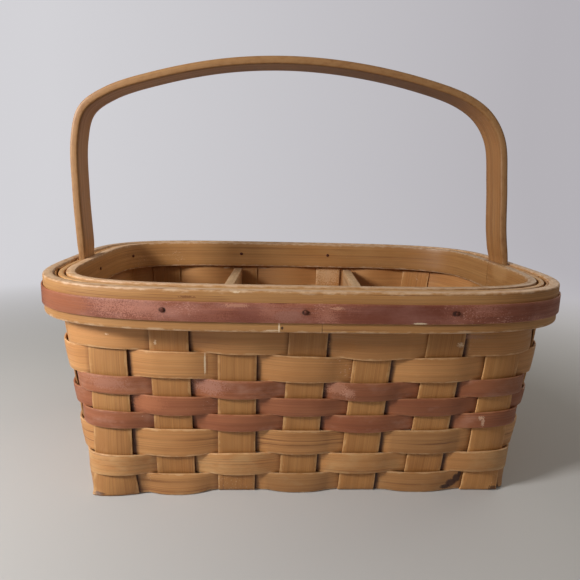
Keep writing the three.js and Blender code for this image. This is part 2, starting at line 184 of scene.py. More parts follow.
def makeGrainGroup():  # streaks that run along a splint: x along it, y across, z through
    shape, levels, relief = grainShape, grainShape["levels"], grainShape["relief"]
    group, given, made = newGroup(
        "splintGrain",
        {"Line Scale": 420.0, "Line Length": 0.012, "Waviness": 0.0006},
        ("Streaks", "Dark Lines", "Fibres", "Pores", "Height"),
    )
    split = group.nodes.new("ShaderNodeSeparateXYZ")
    feed(group, given["Vector"], split.inputs[0])
    sway = wander(group, given["Vector"], *shape["sway"])
    join = group.nodes.new("ShaderNodeCombineXYZ")
    feed(group, times(group, split.outputs[0], given["Line Length"]), join.inputs[0])
    feed(group, maths(group, "MULTIPLY_ADD", sway, given["Waviness"], split.outputs[1]), join.inputs[1])
    feed(group, split.outputs[2], join.inputs[2])
    drawn = (join.outputs[0], given["Line Scale"])
    streaks = remap(group, cloud(group, *drawn, *shape["streaks"]), *levels["streaks"])
    lines = cloud(group, *drawn, *shape["lines"])
    breaks = wander(group, given["Vector"], *shape["breaks"])
    lines = maths(group, "MULTIPLY_ADD", breaks, shape["breakDepth"], lines)
    fibres = cloud(group, *drawn, *shape["fibres"])
    pores = remap(group, cloud(group, *drawn, *shape["pores"]), *levels["pores"])
    height = times(group, fibres, relief["fibres"])
    height = maths(group, "MULTIPLY_ADD", streaks, relief["streaks"], height)
    height = maths(group, "SUBTRACT", height, times(group, pores, relief["pores"]))
    feed(group, streaks, made["Streaks"])
    feed(group, remap(group, lines, *levels["lines"]), made["Dark Lines"])
    feed(group, fibres, made["Fibres"])
    feed(group, pores, made["Pores"])
    feed(group, height, made["Height"])
    return group


driftShape = {"noise": (3.0, 0.55, (1.0, 2.2, 2.2)), "levels": (0.3, 0.7)}


def makeDriftGroup():  # slow change of tone from one stretch of wood to the next
    group, given, made = newGroup("toneDrift", {"Patch Scale": 18.0}, ("Tone",))
    patches = cloud(group, given["Vector"], given["Patch Scale"], *driftShape["noise"])
    feed(group, remap(group, patches, *driftShape["levels"]), made["Tone"])
    return group


wearAndHighlightShape = {"noise": (160.0, 3.0, 0.6, (1.0, 2.0, 2.0)), "full": 1.02}


def makeWearAndHighlightGroup():  # edges rubbed pale, partly wear and partly a painted highlight along the edges, broken up so the line is not even
    group, given, made = newGroup("rubbedEdge", {"Edge": 0.0, "Reach": 0.12, "Breakup": 0.5}, ("Mask",))
    start = maths(group, "SUBTRACT", 1.0, given["Reach"])
    rub = wander(group, given["Vector"], *wearAndHighlightShape["noise"])
    level = maths(group, "ADD", given["Edge"], times(group, rub, given["Breakup"]))
    feed(group, remap(group, level, start, wearAndHighlightShape["full"]), made["Mask"])
    return group


scuffShape = {
    "speckles": (3.0, 0.7, (0.55, 1.0, 1.0)),
    "patches": (0.5, 0.72),
    "patchLift": 0.22,
    "threshold": 0.84,
    "thresholdDrop": 0.2,  # how far the whole amount lowers it
    "softness": 0.08,
}


def makeScuffGroup():  # pale rubbed speckles gathered in patches
    shape = scuffShape
    inputs = {"Speckle Scale": 1300.0, "Patch Scale": 30.0, "Amount": 0.5}
    group, given, made = newGroup("paleScuffs", inputs, ("Mask",))
    speckle = cloud(group, given["Vector"], given["Speckle Scale"], *shape["speckles"])
    patch = remap(group, cloud(group, given["Vector"], given["Patch Scale"]), *shape["patches"])
    level = maths(group, "MULTIPLY_ADD", patch, shape["patchLift"], speckle)
    drop = times(group, given["Amount"], shape["thresholdDrop"])
    start = maths(group, "SUBTRACT", shape["threshold"], drop)
    feed(group, remap(group, level, start, maths(group, "ADD", start, shape["softness"])), made["Mask"])
    return group


spotShape = {"grit": (3.0, 0.65), "raggedBy": 3.0, "outline": (1.05, 0.75)}


def makeSpotGroup():  # one mark at a place on the basket, with a ragged outline
    size = (0.01, 0.01, 0.01)
    inputs = {"Centre": (0, 0, 0), "Size": size, "Ragged": 0.5, "Grit Scale": 1300.0}
    group, given, made = newGroup("raggedSpot", inputs, ("Mask",))
    away = maths(group, "SUBTRACT", given["Vector"], given["Centre"], kind="VectorMath")
    away = maths(group, "DIVIDE", away, given["Size"], kind="VectorMath")
    away = maths(group, "LENGTH", away, kind="VectorMath")
    grit = wander(group, given["Vector"], given["Grit Scale"], *spotShape["grit"])
    away = maths(group, "MULTIPLY_ADD", grit, times(group, given["Ragged"], spotShape["raggedBy"]), away)
    feed(group, remap(group, away, *spotShape["outline"]), made["Mask"])
    return group


fadeShape = {"noise": (5.0, 0.65, (0.6, 1.3, 1.3)), "amountBy": 0.5, "patchBy": 0.9, "levels": (0.6, 0.86)}


def makeFadeGroup():  # blotches where the stain has gone pale, along the grain
    shape = fadeShape
    group, given, made = newGroup("fadedPatches", {"Amount": 0.0, "Patch Scale": 60.0}, ("Mask",))
    patch = cloud(group, given["Vector"], given["Patch Scale"], *shape["noise"])
    patch = times(group, patch, shape["patchBy"])
    level = maths(group, "MULTIPLY_ADD", given["Amount"], shape["amountBy"], patch)
    feed(group, remap(group, level, *shape["levels"]), made["Mask"])
    return group


seamShape = {  # right, left: where the painted shadow and grime start, in mm, and how dark they are there
    "noise": (240.0, 2.0),
    "wander": 1.6,
    "right": (0.9, 0.96),
    "left": (0.0, 0.4),
}


def makeSeamShadeGroup():  # painted shadow, darkest beside a stake's right edge, with some grime, in the corner where one splint dives under another
    group, given, made = newGroup("seamGrime", {"Right": 9.0, "Left": 9.0, "Width": 3.3}, ("Mask",))
    shift = times(group, wander(group, given["Vector"], *seamShape["noise"]), seamShape["wander"])
    sides = []
    for label in ("Right", "Left"):
        start, dark = seamShape[label.lower()]
        away = maths(group, "ADD", given[label], shift)
        sides.append(remap(group, away, start, given["Width"], dark, 0.0))
    feed(group, maths(group, "MAXIMUM", *sides), made["Mask"])
    return group


grainGroup = makeGrainGroup()
driftGroup = makeDriftGroup()
wearAndHighlightGroup = makeWearAndHighlightGroup()
scuffGroup = makeScuffGroup()
fadeGroup = makeFadeGroup()
seamShadeGroup = makeSeamShadeGroup()
spotGroup = makeSpotGroup()


def attribute(tree, name, output="Fac"):
    node = tree.nodes.new("ShaderNodeAttribute")
    node.attribute_name = name
    return node.outputs[output]


# pale, deep: the wood's two tones, streak, line: its grain, faded: bleached patches, worn: rubbed edges
# with a painted highlight on them,
# scuff: raw fibre, all as read off a screen
usualWood = {"rough": (0.42, 0.6), "lineScale": 420.0, "bump": 0.25, "scuff": (238, 214, 184)}
woods = {
    "tanSplint": {
        "pale": (206, 151, 93), "deep": (186, 128, 73), "streak": (176, 118, 65), "line": (122, 70, 34),
        "faded": (206, 172, 122), "worn": (230, 190, 142), "scuffAmount": 0.08,
    },
    "stakeSplint": {
        "pale": (190, 137, 78), "deep": (174, 118, 63), "streak": (164, 108, 56), "line": (120, 72, 34),
        "faded": (210, 164, 112), "worn": (218, 174, 120), "scuffAmount": 0.1,
        "rough": (0.48, 0.66), "lineScale": 520.0, "bump": 0.3,
    },
    "roseSplint": {
        "pale": (166, 103, 66), "deep": (150, 85, 52), "streak": (134, 74, 44), "line": (98, 50, 34),
        "faded": (192, 146, 124), "worn": (188, 132, 94), "scuff": (226, 196, 178), "scuffAmount": 0.16,
        "rough": (0.44, 0.62), "bump": 0.22,
    },
    "roseBand": {
        "pale": (174, 104, 76), "deep": (126, 66, 46), "streak": (116, 60, 42), "line": (90, 42, 32),
        "faded": (188, 134, 120), "worn": (186, 124, 92), "scuff": (206, 152, 134), "scuffAmount": 0.7,
        "rough": (0.4, 0.62), "lineScale": 380.0,
    },
    "rimWood": {
        "pale": (194, 145, 90), "deep": (178, 124, 68), "streak": (164, 112, 62), "line": (118, 72, 38),
        "faded": (214, 172, 128), "worn": (236, 206, 174), "scuff": (238, 216, 190), "scuffAmount": 0.12,
        "lineScale": 300.0,
    },
    "handleWood": {
        "pale": (178, 129, 78), "deep": (160, 110, 63), "streak": (146, 96, 52), "line": (110, 66, 36),
        "faded": (204, 160, 112), "worn": (190, 144, 94), "scuff": (236, 212, 184), "scuffAmount": 0.06,
        "rough": (0.4, 0.58), "lineScale": 300.0, "bump": 0.2,
    },
    "dividerBoard": {
        "pale": (214, 174, 126), "deep": (176, 128, 84), "streak": (168, 122, 76), "line": (112, 70, 42),
        "faded": (222, 190, 150), "worn": (224, 192, 152), "scuff": (212, 182, 148), "scuffAmount": 0.85,
        "rough": (0.62, 0.8), "lineScale": 260.0, "bump": 0.8,
    },
}
# colour of the painted shadow and grime in the seams beside the stakes
seamShadeAndGrimeColour = (66, 28, 10)

# wood: (middle and reach in mm, colour, raggedness, strength) of each mark worth its own spot
# first: pale raw fibre, also used for two painted slits of light; second: painted shade in holes and gaps,
# with the stain ring round each sunk brad
whiteFibreAndLitSlit, holeShadeAndStain = (238, 216, 182), (54, 22, 12)
woodMarks = {
    "roseBand": [
        ((-119, -127, 130), (15, 9, 6.5), (196, 134, 112), 2.0, 0.6),
        ((-99, -128, 129), (13, 9, 5.5), (192, 128, 106), 2.1, 0.5),
        ((-68, -129, 127), (18, 9, 4.5), (184, 118, 96), 2.2, 0.45),
        ((-28, -129, 128), (14, 9, 6), (186, 124, 104), 2.1, 0.5),
        ((-38, -129, 128), (9, 9, 7), (116, 54, 38), 1.0, 0.45),
        ((8, -129, 128.5), (6, 9, 6), (190, 126, 102), 2.1, 0.5),
        ((103, -127, 131), (9, 9, 3.5), (186, 124, 104), 2.1, 0.5),
        ((50, -129, 128), (34, 9, 9), (108, 50, 32), 0.5, 0.45),
        ((-50, -129, 124), (30, 9, 5), (116, 54, 36), 0.6, 0.4),
        ((128, -124, 128), (16, 12, 9), (128, 66, 44), 0.6, 0.35),
        ((-152, -108, 128), (24, 34, 11), (164, 96, 58), 0.6, 0.6),
        ((-14, -129, 126), (9, 9, 4), (158, 108, 92), 0.7, 0.6),
        ((-18, -129, 134), (10, 9, 1.0), (96, 38, 26), 0.9, 0.7),
        ((-44, -129, 132), (7, 9, 1.2), (206, 148, 120), 1.2, 0.6),
        ((14, -129, 131), (4, 9, 1.0), (212, 156, 126), 1.1, 0.6),
        ((63.4, -129, 122.4), (4.5, 9, 0.6), whiteFibreAndLitSlit, 0.5, 0.8),
        # painted shade in the recess of each sunk brad, with its stain ring
        ((-87, -128, 128.4), (2.3, 6, 1.8), holeShadeAndStain, 0.2, 0.9),
        ((-4.5, -130, 128.4), (2.2, 6, 1.8), holeShadeAndStain, 0.2, 0.9),
        ((84.6, -128, 128.4), (2.4, 6, 1.7), holeShadeAndStain, 0.2, 0.9),
    ],
    "rimWood": [
        ((-19.6, -129, 118.4), (0.5, 6, 4.2), whiteFibreAndLitSlit, 0.3, 0.9),
        ((-23.5, -129, 117.0), (4.6, 6, 0.5), whiteFibreAndLitSlit, 0.6, 0.5),
        ((-17.8, -129, 118.6), (0.8, 6, 1.1), holeShadeAndStain, 0.2, 0.9),
        ((-73, -128, 136.2), (5.0, 6, 0.7), (112, 60, 26), 0.9, 0.7),
        ((-44.7, -128, 139.6), (2.2, 6, 0.6), whiteFibreAndLitSlit, 0.8, 0.6),
        ((163, -14, 136), (12, 16, 9), (206, 158, 104), 0.5, 0.45),
        ((-158, 100, 131), (9, 9, 3), (96, 58, 30), 1.1, 0.7),
        ((-128, 108, 124), (2.4, 6, 1.6), (84, 44, 22), 0.5, 0.7),
    ],
    "tanSplint": [
        ((-124.2, -113, 108.6), (1.3, 9, 0.6), whiteFibreAndLitSlit, 1.0, 0.6),
        ((-64.3, -115, 90.6), (0.6, 9, 8.4), whiteFibreAndLitSlit, 0.5, 0.85),
        ((-63.0, -115, 90.6), (0.5, 9, 8.0), (150, 92, 48), 0.5, 0.7),
        ((100, -114, 109.6), (13, 9, 1.6), (178, 132, 108), 1.3, 0.5),
        ((22, -114, 104), (9, 9, 5), (190, 126, 62), 0.8, 0.5),
        # painted shadow in the gap where the lowest row curls up before going behind the last front stake
        ((105.2, -108, 12.2), (1.6, 12, 3.2), holeShadeAndStain, 0.2, 0.92),
        ((103.2, -108, 9.0), (3.2, 12, 3.6), holeShadeAndStain, 0.25, 0.92),
        ((99.6, -108, 5.8), (4.2, 12, 3.0), (70, 32, 18), 0.35, 0.92),
        ((95.6, -108, 3.2), (4.2, 12, 1.8), holeShadeAndStain, 0.4, 0.9),
        # painted light: two bright slits under the inner rim at the back, where light comes through between
        # the rim and the top row
        ((-65.5, 112, 114.6), (4.2, 4, 0.9), whiteFibreAndLitSlit, 0.3, 0.95),
        ((-31.2, 112, 114.8), (8.0, 4, 0.9), whiteFibreAndLitSlit, 0.3, 0.95),
    ],
    "stakeSplint": [
        ((-94.4, -113, 104.5), (0.8, 9, 1.6), whiteFibreAndLitSlit, 1.2, 0.6),
        ((95.4, -113, 104.7), (2.0, 9, 1.5), whiteFibreAndLitSlit, 1.4, 0.6),
        ((128.6, -107, 1.6), (3.2, 9, 2.0), holeShadeAndStain, 0.8, 0.8),
        ((37.5, 112, 110), (13, 5, 10), (214, 176, 136), 2.2, 0.6),
        ((-132, -110, 2.0), (4.0, 9, 0.8), holeShadeAndStain, 0.7, 0.7),
    ],
    "roseSplint": [
        ((18, -115, 75), (7.5, 9, 4.5), (198, 140, 112), 0.9, 0.6),
        ((26, -115, 72), (4, 9, 3), (202, 146, 120), 1.1, 0.6),
        ((114, -111, 54.5), (2.0, 9, 1.4), (222, 182, 152), 1.1, 0.7),
        ((115.5, -111, 51.5), (1.1, 9, 3.0), (222, 182, 152), 1.1, 0.65),
        ((-62, -115, 76), (11, 9, 5.5), (178, 128, 110), 1.2, 0.6),
        ((-126, -112, 77), (14, 9, 4.5), (174, 122, 102), 1.3, 0.5),
        ((-100, -113, 64), (12, 9, 5), (176, 108, 70), 0.9, 0.5),
    ],
}


strengths = {"streak": 0.65, "pores": 0.35, "faded": 0.6, "worn": 0.5, "scuff": 0.7}
fibreShades = (0.35, 0.65, 0.84, 1.12)  # from noise to brightness
reliefShare = (0.2, 0.8)
reliefDepth = 0.4 * mm


def newMaterial(name):
    material = bpy.data.materials.new(name)
    material.use_nodes = True
    tree = material.node_tree
    place = tree.nodes.new("ShaderNodeTexCoord").outputs["Object"]
    return material, tree, tree.nodes["Principled BSDF"].inputs, place


def makeWood(name, spec):
    material, tree, shader, place = newMaterial(name)
    flat = attribute(tree, "flat", "Vector")
    right, left = attribute(tree, "right"), attribute(tree, "left")
    grain = useGroup(tree, grainGroup, vector=flat, lineScale=spec["lineScale"])
    drift = useGroup(tree, driftGroup, vector=flat)
    worn = useGroup(tree, wearAndHighlightGroup, vector=flat, edge=attribute(tree, "edge"))
    scuff = useGroup(tree, scuffGroup, vector=flat, amount=spec["scuffAmount"])
    faded = useGroup(tree, fadeGroup, vector=flat, amount=attribute(tree, "stain"))
    seam = useGroup(tree, seamShadeGroup, vector=flat, right=right, left=left)
    colour = blendColours(tree, drift["Tone"], tint(*spec["deep"]), tint(*spec["pale"]))
    gaps = maths(tree, "SUBTRACT", 1.0, grain["Streaks"])
    colour = lay(tree, colour, spec["streak"], gaps, strengths["streak"])
    fibres = remap(tree, grain["Fibres"], *fibreShades)
    colour = blendColours(tree, 1.0, colour, fibres, "MULTIPLY")
    colour = lay(tree, colour, spec["line"], grain["Dark Lines"], attribute(tree, "lines"))
    colour = lay(tree, colour, spec["streak"], grain["Pores"], strengths["pores"])
    # the worn edge colour is partly a painted highlight along the lit edges
    for label, group in (("faded", faded), ("worn", worn), ("scuff", scuff)):
        colour = lay(tree, colour, spec[label], group["Mask"], strengths[label])
    # painted shadow and grime where a splint dives under a stake
    colour = blendColours(tree, seam["Mask"], colour, tint(*seamShadeAndGrimeColour))
    for centre, reach, shade, ragged, strength in woodMarks.get(name, []):
        centre, reach = Vector(centre) * mm, Vector(reach) * mm
        spot = useGroup(tree, spotGroup, vector=place, centre=centre, size=reach, ragged=ragged)
        colour = lay(tree, colour, shade, spot["Mask"], strength)
    # tone: brightness of each piece, which on the hoops, the handle and the stakes is painted light and
    # shade
    colour = blendColours(tree, 1.0, colour, attribute(tree, "tone"), "MULTIPLY")
    feed(tree, colour, shader["Base Color"])
    smooth, dull = spec["rough"]
    feed(tree, remap(tree, grain["Height"], *reliefShare, dull, smooth), shader["Roughness"])
    bump = tree.nodes.new("ShaderNodeBump")
    feed(tree, spec["bump"], bump.inputs["Strength"])
    feed(tree, reliefDepth, bump.inputs["Distance"])
    feed(tree, grain["Height"], bump.inputs["Height"])
    feed(tree, bump.outputs["Normal"], shader["Normal"])
    return material


materials = {name: makeWood(name, {**usualWood, **spec}) for name, spec in woods.items()}

bradSteel = {
    "bare": (100, 60, 44),
    "rust": (88, 40, 28),
    "rough": (0.45, 0.75),
    "rustNoise": (900.0, 4.0, 0.6),
    "rustLevels": (0.4, 0.62),
    "rustDulls": 0.8,  # how far rust takes the metallic look away
}


def makeBradSteel():
    spec = bradSteel
    material, tree, shader, place = newMaterial("bradSteel")
    rust = remap(tree, cloud(tree, place, *spec["rustNoise"]), *spec["rustLevels"])
    colour = blendColours(tree, rust, tint(*spec["bare"]), tint(*spec["rust"]))
    feed(tree, colour, shader["Base Color"])
    metallic = maths(tree, "SUBTRACT", 1.0, times(tree, rust, spec["rustDulls"]))
    feed(tree, metallic, shader["Metallic"])
    feed(tree, remap(tree, rust, 0.0, 1.0, *spec["rough"]), shader["Roughness"])
    return material


materials["bradSteel"] = makeBradSteel()
print("materials made:", ", ".join(materials))

# Basket outline

basket = {
    "captured": 8.95 * mm,  # from outside the band to the middle of the splint held in the rim
    "flareStart": 116 * mm,
    "flareEnd": 121.5 * mm,
    "earlyRounding": 0.78,
    "lateRoundingPower": 4,
}
rimOutline = (181.2 * mm, 129.9 * mm, 3.9)  # half width, half depth, squareness
wallAtBase = (139 * mm, 105.5 * mm, 48)
wallAtRim = (167 * mm, 114.5 * mm, 4.6)
cornerPush = {  # the front corners of the floor stand out further than the back ones
    "left": 6.6 * mm,
    "right": 0.8 * mm,
    "x": (85 * mm, 125 * mm),
    "y": (30 * mm, 95 * mm),
    "height": (5 * mm, 75 * mm),
}


def lerp(low, high, amount):
    return low + (high - low) * amount


def clamp(value, low, high):
    return max(low, min(high, value))


def smoothStep(value, low, high):
    amount = clamp((value - low) / (high - low), 0, 1)
    return amount * amount * (3 - 2 * amount)


def signedPower(value, power):
    return math.copysign(abs(value) ** power, value)


def outlinePoint(turn, outline):  # a point of a squared oval and its outward normal
    halfX, halfY, power = outline
    c, s = math.cos(turn), math.sin(turn)
    size = (abs(c / halfX) ** power + abs(s / halfY) ** power) ** (-1 / power)
    x, y = c * size, s * size
    normalX = signedPower(x / halfX, power - 1) / halfX
    normalY = signedPower(y / halfY, power - 1) / halfY
    length = math.hypot(normalX, normalY)
    return x, y, normalX / length, normalY / length


@functools.lru_cache(maxsize=None)
def rimPoint(turn):
    return outlinePoint(turn, rimOutline)


def insideRim(turn, height, inset):
    x, y, normalX, normalY = rimPoint(turn)
    return Vector((x - normalX * inset, y - normalY * inset, height))


def wallOutline(height):
    rise = clamp(height / basket["flareStart"], 0, 1)
    halfX = lerp(wallAtBase[0], wallAtRim[0], rise)
    halfY = lerp(wallAtBase[1], wallAtRim[1], rise)
    rounding = lerp(rise ** basket["lateRoundingPower"], math.sqrt(rise), basket["earlyRounding"])
    return halfX, halfY, 1 / lerp(1 / wallAtBase[2], 1 / wallAtRim[2], rounding)


def pushed(place):
    push = cornerPush["left" if place.x < 0 else "right"] * smoothStep(abs(place.x), *cornerPush["x"])
    push *= smoothStep(-place.y, *cornerPush["y"])
    place.y -= push * (1 - smoothStep(place.z, *cornerPush["height"]))
    return place


def plainWall(turn, height, out, level=None):  # level: where the wall's width is read, if not at the height
    level = height if level is None else level
    x, y, normalX, normalY = outlinePoint(turn, wallOutline(level))
    place = Vector((x + normalX * out, y + normalY * out, height))
    flare = smoothStep(level, basket["flareStart"], basket["flareEnd"])
    if flare > 0:
        place = place.lerp(insideRim(turn, height, basket["captured"] - out), flare)
    return place


def onWall(turn, height, out, level=None):
    return pushed(plainWall(turn, height, out, level))


reachLimit = 0.999  # short of the corner, where the oval's own axis ends
searchSpans = {"x": (0.12, 0.88), "y": (-0.4, 0.4)}  # half turns
searchSteps = 36


def wallTurn(axis, value, side, height):  # where the wall reaches an x (front, back) or a y (sides)
    halfX, halfY, power = wallOutline(height)
    half, other = (halfX, halfY) if axis == "x" else (halfY, halfX)
    across = side * other * (1 - min(abs(value / half), reachLimit) ** power) ** (1 / power)
    return math.atan2(across, value) if axis == "x" else math.atan2(value, across) % fullTurn


def rimTurn(axis, value, side, inset):  # the same for the rim, moved in
    low, high = (span * math.pi for span in searchSpans[axis])
    for _ in range(searchSteps):
        middle = (low + high) / 2
        place = insideRim(middle, 0, inset)
        tooLow = place.x > value if axis == "x" else place.y < value
        low, high = (middle, high) if tooLow else (low, middle)
    turn = (low + high) / 2
    if axis == "x":
        return side * turn
    return math.pi - turn if side < 0 else turn


def nearestTurn(x, y, beside):  # the turn of a direction, in the same round as another turn
    turn = math.atan2(y, x)
    return turn + fullTurn * round((beside - turn) / fullTurn)


def cornerTurn(step):  # turns that crowd together at the corners
    halfX, halfY, power = rimOutline
    x = halfX * signedPower(math.cos(step), 2 / power)
    return nearestTurn(x, halfY * signedPower(math.sin(step), 2 / power), step)


def cornerStep(turn):
    halfX, halfY, power = rimOutline
    x, y, _, _ = rimPoint(turn)
    return nearestTurn(signedPower(x / halfX, power / 2), signedPower(y / halfY, power / 2), turn)


# Hoops of the rim

rimSteps = 216
hoopLength = 960 * mm
endTurn = 0.0014  # how far the ends of a hoop stop short of each other, as a turn
hoops = {
    "outerRim": {
        "inset": 1.3 * mm,
        "thickness": 6.8 * mm,
        "bottom": 115.5 * mm,
        "top": 140.5 * mm,
        "seam": -53.96,
        "lap": (119 * mm, 121 * mm),  # the joint is open below and closed above
        "ease": 1.2 * mm,
        "easeSteps": 3,
        "looks": {"lines": 0.8},
        "tones": (0.91, 1.07),  # painted light and shade: brightness at the left end, at the right end
        "material": "rimWood",
    },
    "accentBand": {
        "node": "rim_accent_band",
        "inset": 0,
        "thickness": 1.0 * mm,
        "bottom": 121.8 * mm,
        "top": 133.6 * mm,
        "seam": 60,
        "ease": 0.3 * mm,
        "looks": {"lines": 0.5, "stain": 0.36},
        # painted light and shade, from the left end to the right end
        "tones": (0.84, 1.13),
        "material": "roseBand",
    },
    "innerRim": {
        "inset": 15.7 * mm,
        "thickness": 5.6 * mm,
        "bottom": 117.5 * mm,
        "top": 140.5 * mm,
        "seam": 0.2,
        "ease": 0.6 * mm,
        "lanes": 5,
        "looks": {"lines": 0.4},
        # painted light and shade, from the left end to the right end
        "tones": (1.12, 0.8),
        "material": "rimWood",
    },
}


# Strips: a flat strip is made and eased first, then bent along its way

usualLanes, usualEaseSteps = 6, 2
seeds = {"stakes": 11, "hoops": 31, "fillers": 41, "handle": 51, "dividers": 61}
seeds.update({"stakeLooks": 100, "swings": 400})
grainShift = (1.37, 0.61, 0.23)  # no two pieces show the same grain

# tone: brightness, lines: dark grain lines, stain: faded patches, right, left: mm from the stakes beside it
plainLooks = {"tone": 1.0, "lines": 0.3, "stain": 0.0, "right": 9.0, "left": 9.0}


def snake(name):  # crossStake1 becomes cross_stake_1
    return "".join(letter if letter.islower() else "_" + letter.lower() for letter in name)


def makeObject(name, bm, material):
    mesh = bpy.data.meshes.new(name)
    for face in bm.faces:
        face.smooth = True
    bm.to_mesh(mesh)
    bm.free()
    mesh.materials.append(material)
    return putIn(bpy.data.objects.new(name, mesh))


def finishPiece(name, bm, material, node=None, smoothAngle=35):
    piece = makeObject(name, bm, materials[material])
    piece.data.set_sharp_from_angle(angle=math.radians(smoothAngle))
    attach(piece, "root")
    snake(material)
    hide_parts(node or snake(name))


def easeEdges(bm, edges, reach, segments):
    bmesh.ops.bevel(
        bm,
        geom=edges,
        offset=reach,
        offset_type="OFFSET",
        segments=segments,
        profile=0.5,
        affect="EDGES",
        material=-1,
        clamp_overlap=True,
    )


def squareEdges(bm):
    return [edge for edge in bm.edges if edge.is_manifold and edge.calc_face_angle() > 1]


def writeLooks(bm, seed, read):  # read(vert) gives its flat place, its nearness to the edge and its looks
    flat = bm.verts.layers.float_vector.new("flat")
    edge = bm.verts.layers.float.new("edge")
    layers = {look: bm.verts.layers.float.new(look) for look in plainLooks}
    shift = Vector([seed * share for share in grainShift])
    for vert in bm.verts:
        place, vert[edge], looks = read(vert)
        vert[flat] = place + shift
        for look, layer in layers.items():
            vert[layer] = looks.get(look, plainLooks[look])


def lengthsAlong(points):
    reached = [0]
    for first, second in zip(points, points[1:]):
        reached.append(reached[-1] + (second - first).length)
    return reached


def flatStrip(spec):
    bm = bmesh.new()
    lanes = spec.get("lanes", usualLanes)
    bmesh.ops.create_grid(bm, x_segments=spec["steps"], y_segments=lanes, size=0.5)
    bmesh.ops.scale(bm, vec=(spec["length"], spec["width"], 1), verts=bm.verts)
    bmesh.ops.solidify(bm, geom=bm.faces[:], thickness=spec["thickness"])
    heights = [vert.co.z for vert in bm.verts]
    bmesh.ops.translate(bm, vec=(0, 0, -(min(heights) + max(heights)) / 2), verts=bm.verts)
    bmesh.ops.recalc_face_normals(bm, faces=bm.faces)
    long = [edge for edge in squareEdges(bm) if edge.verts[0].co.x != edge.verts[1].co.x]
    easeEdges(bm, long, spec["ease"], spec.get("easeSteps", usualEaseSteps))
    return bm


def makeStrip(name, spec, place, seed, material, looksAt=lambda *where: {}, node=None):
    bm = flatStrip(spec)  # place and looksAt take step, across, out: they give a point, and looks by name
    steps = spec["steps"]
    reached = lengthsAlong([place(step, 0, 0) for step in range(steps + 1)])
    places = []

    def read(vert):
        step = clamp((vert.co.x / spec["length"] + 0.5) * steps, 0, steps)
        index = min(int(step), steps - 1)
        along = lerp(reached[index], reached[index + 1], step - index)
        across, out = vert.co.y, vert.co.z
        places.append(place(step, across, out))
        return Vector((along, across, out)), abs(across) * 2 / spec["width"], looksAt(step, across, out)

    writeLooks(bm, seed, read)
    for vert, bent in zip(bm.verts, places):
        vert.co = bent
    bmesh.ops.recalc_face_normals(bm, faces=bm.faces)
    finishPiece(name, bm, material, node)


# Stakes

stakeSpec = {
    "thickness": 1.1 * mm,
    "ease": 0.22 * mm,
    "top": 139.5 * mm,
    "wallStart": 2.6 * mm,
    "bendRadius": 1.5 * mm,
    "bendSteps": 5,
    "wallStep": 3.2 * mm,
    "floorLower": 0.55 * mm,
    "floorUpper": 2.05 * mm,
    "crossingRoom": 0.6 * mm,
    "crossingParts": (-1, -0.33, 0.33, 1),
    "give": 0.3 * mm,  # how far the weavers push a stake in and out
    "warp": 0.18 * mm,
    "warpScale": (60, 30, 90),
    "warpFade": 6 * mm,  # below the flare
    "length": 500 * mm,
    "toneSpread": (0.98, 1.02),
    "lineSpread": (0.15, 0.55),
}
crossStakes = {
    "axis": "x",
    "tops": [x * mm for x in (-126, -88.8, -46.1, -1.5, 40.3, 86.3, 129)],
    "bases": [x * mm for x in (-122.4, -83.4, -44.7, -5, 34.9, 78, 118.8)],
    "width": 24 * mm,
    "cornerWidth": 25 * mm,
    "slant": 3.6 * mm,
    # painted light and shade: brightness of each front stake, from the left
    "tones": (0.88, 1.0, 0.98, 0.96, 1.02, 1.0, 1.14),
    "footSpread": 1.17,  # the first stake widens towards its foot
    "footFrom": (5 * mm, 22 * mm),
}
longStakes = {
    "axis": "y",
    "tops": [y * mm for y in (-78, -39, 0, 39, 78)],
    "bases": [y * mm for y in (-73, -36.5, 0, 36.5, 73)],
    "width": 24 * mm,
    "cornerWidth": 24 * mm,
    "slant": 0,
    "tones": (1.0,) * 5,
}


def listStakes():
    stakes = []
    for kind, spec in (("crossStake", crossStakes), ("longStake", longStakes)):
        last = len(spec["tops"]) - 1
        for number, (top, base) in enumerate(zip(spec["tops"], spec["bases"])):
            atCorner = number in (0, last)
            slant = 0 if atCorner else spec["slant"]
            stakes.append(
                {
                    "name": f"{kind}{number + 1}",
                    "axis": spec["axis"],
                    "width": spec["cornerWidth" if atCorner else "width"],
                    "base": base,
                    "top": {-1: top + slant / 2, 1: top - slant / 2},
                    "tone": spec["tones"][number],
                    "number": number,
                }
            )
    return stakes


def stakeTurn(stake, side, across, height):
    middle = lerp(stake["base"], stake["top"][side], height / stakeSpec["top"])
    return wallTurn(stake["axis"], middle + across, side, height)


# Weavers

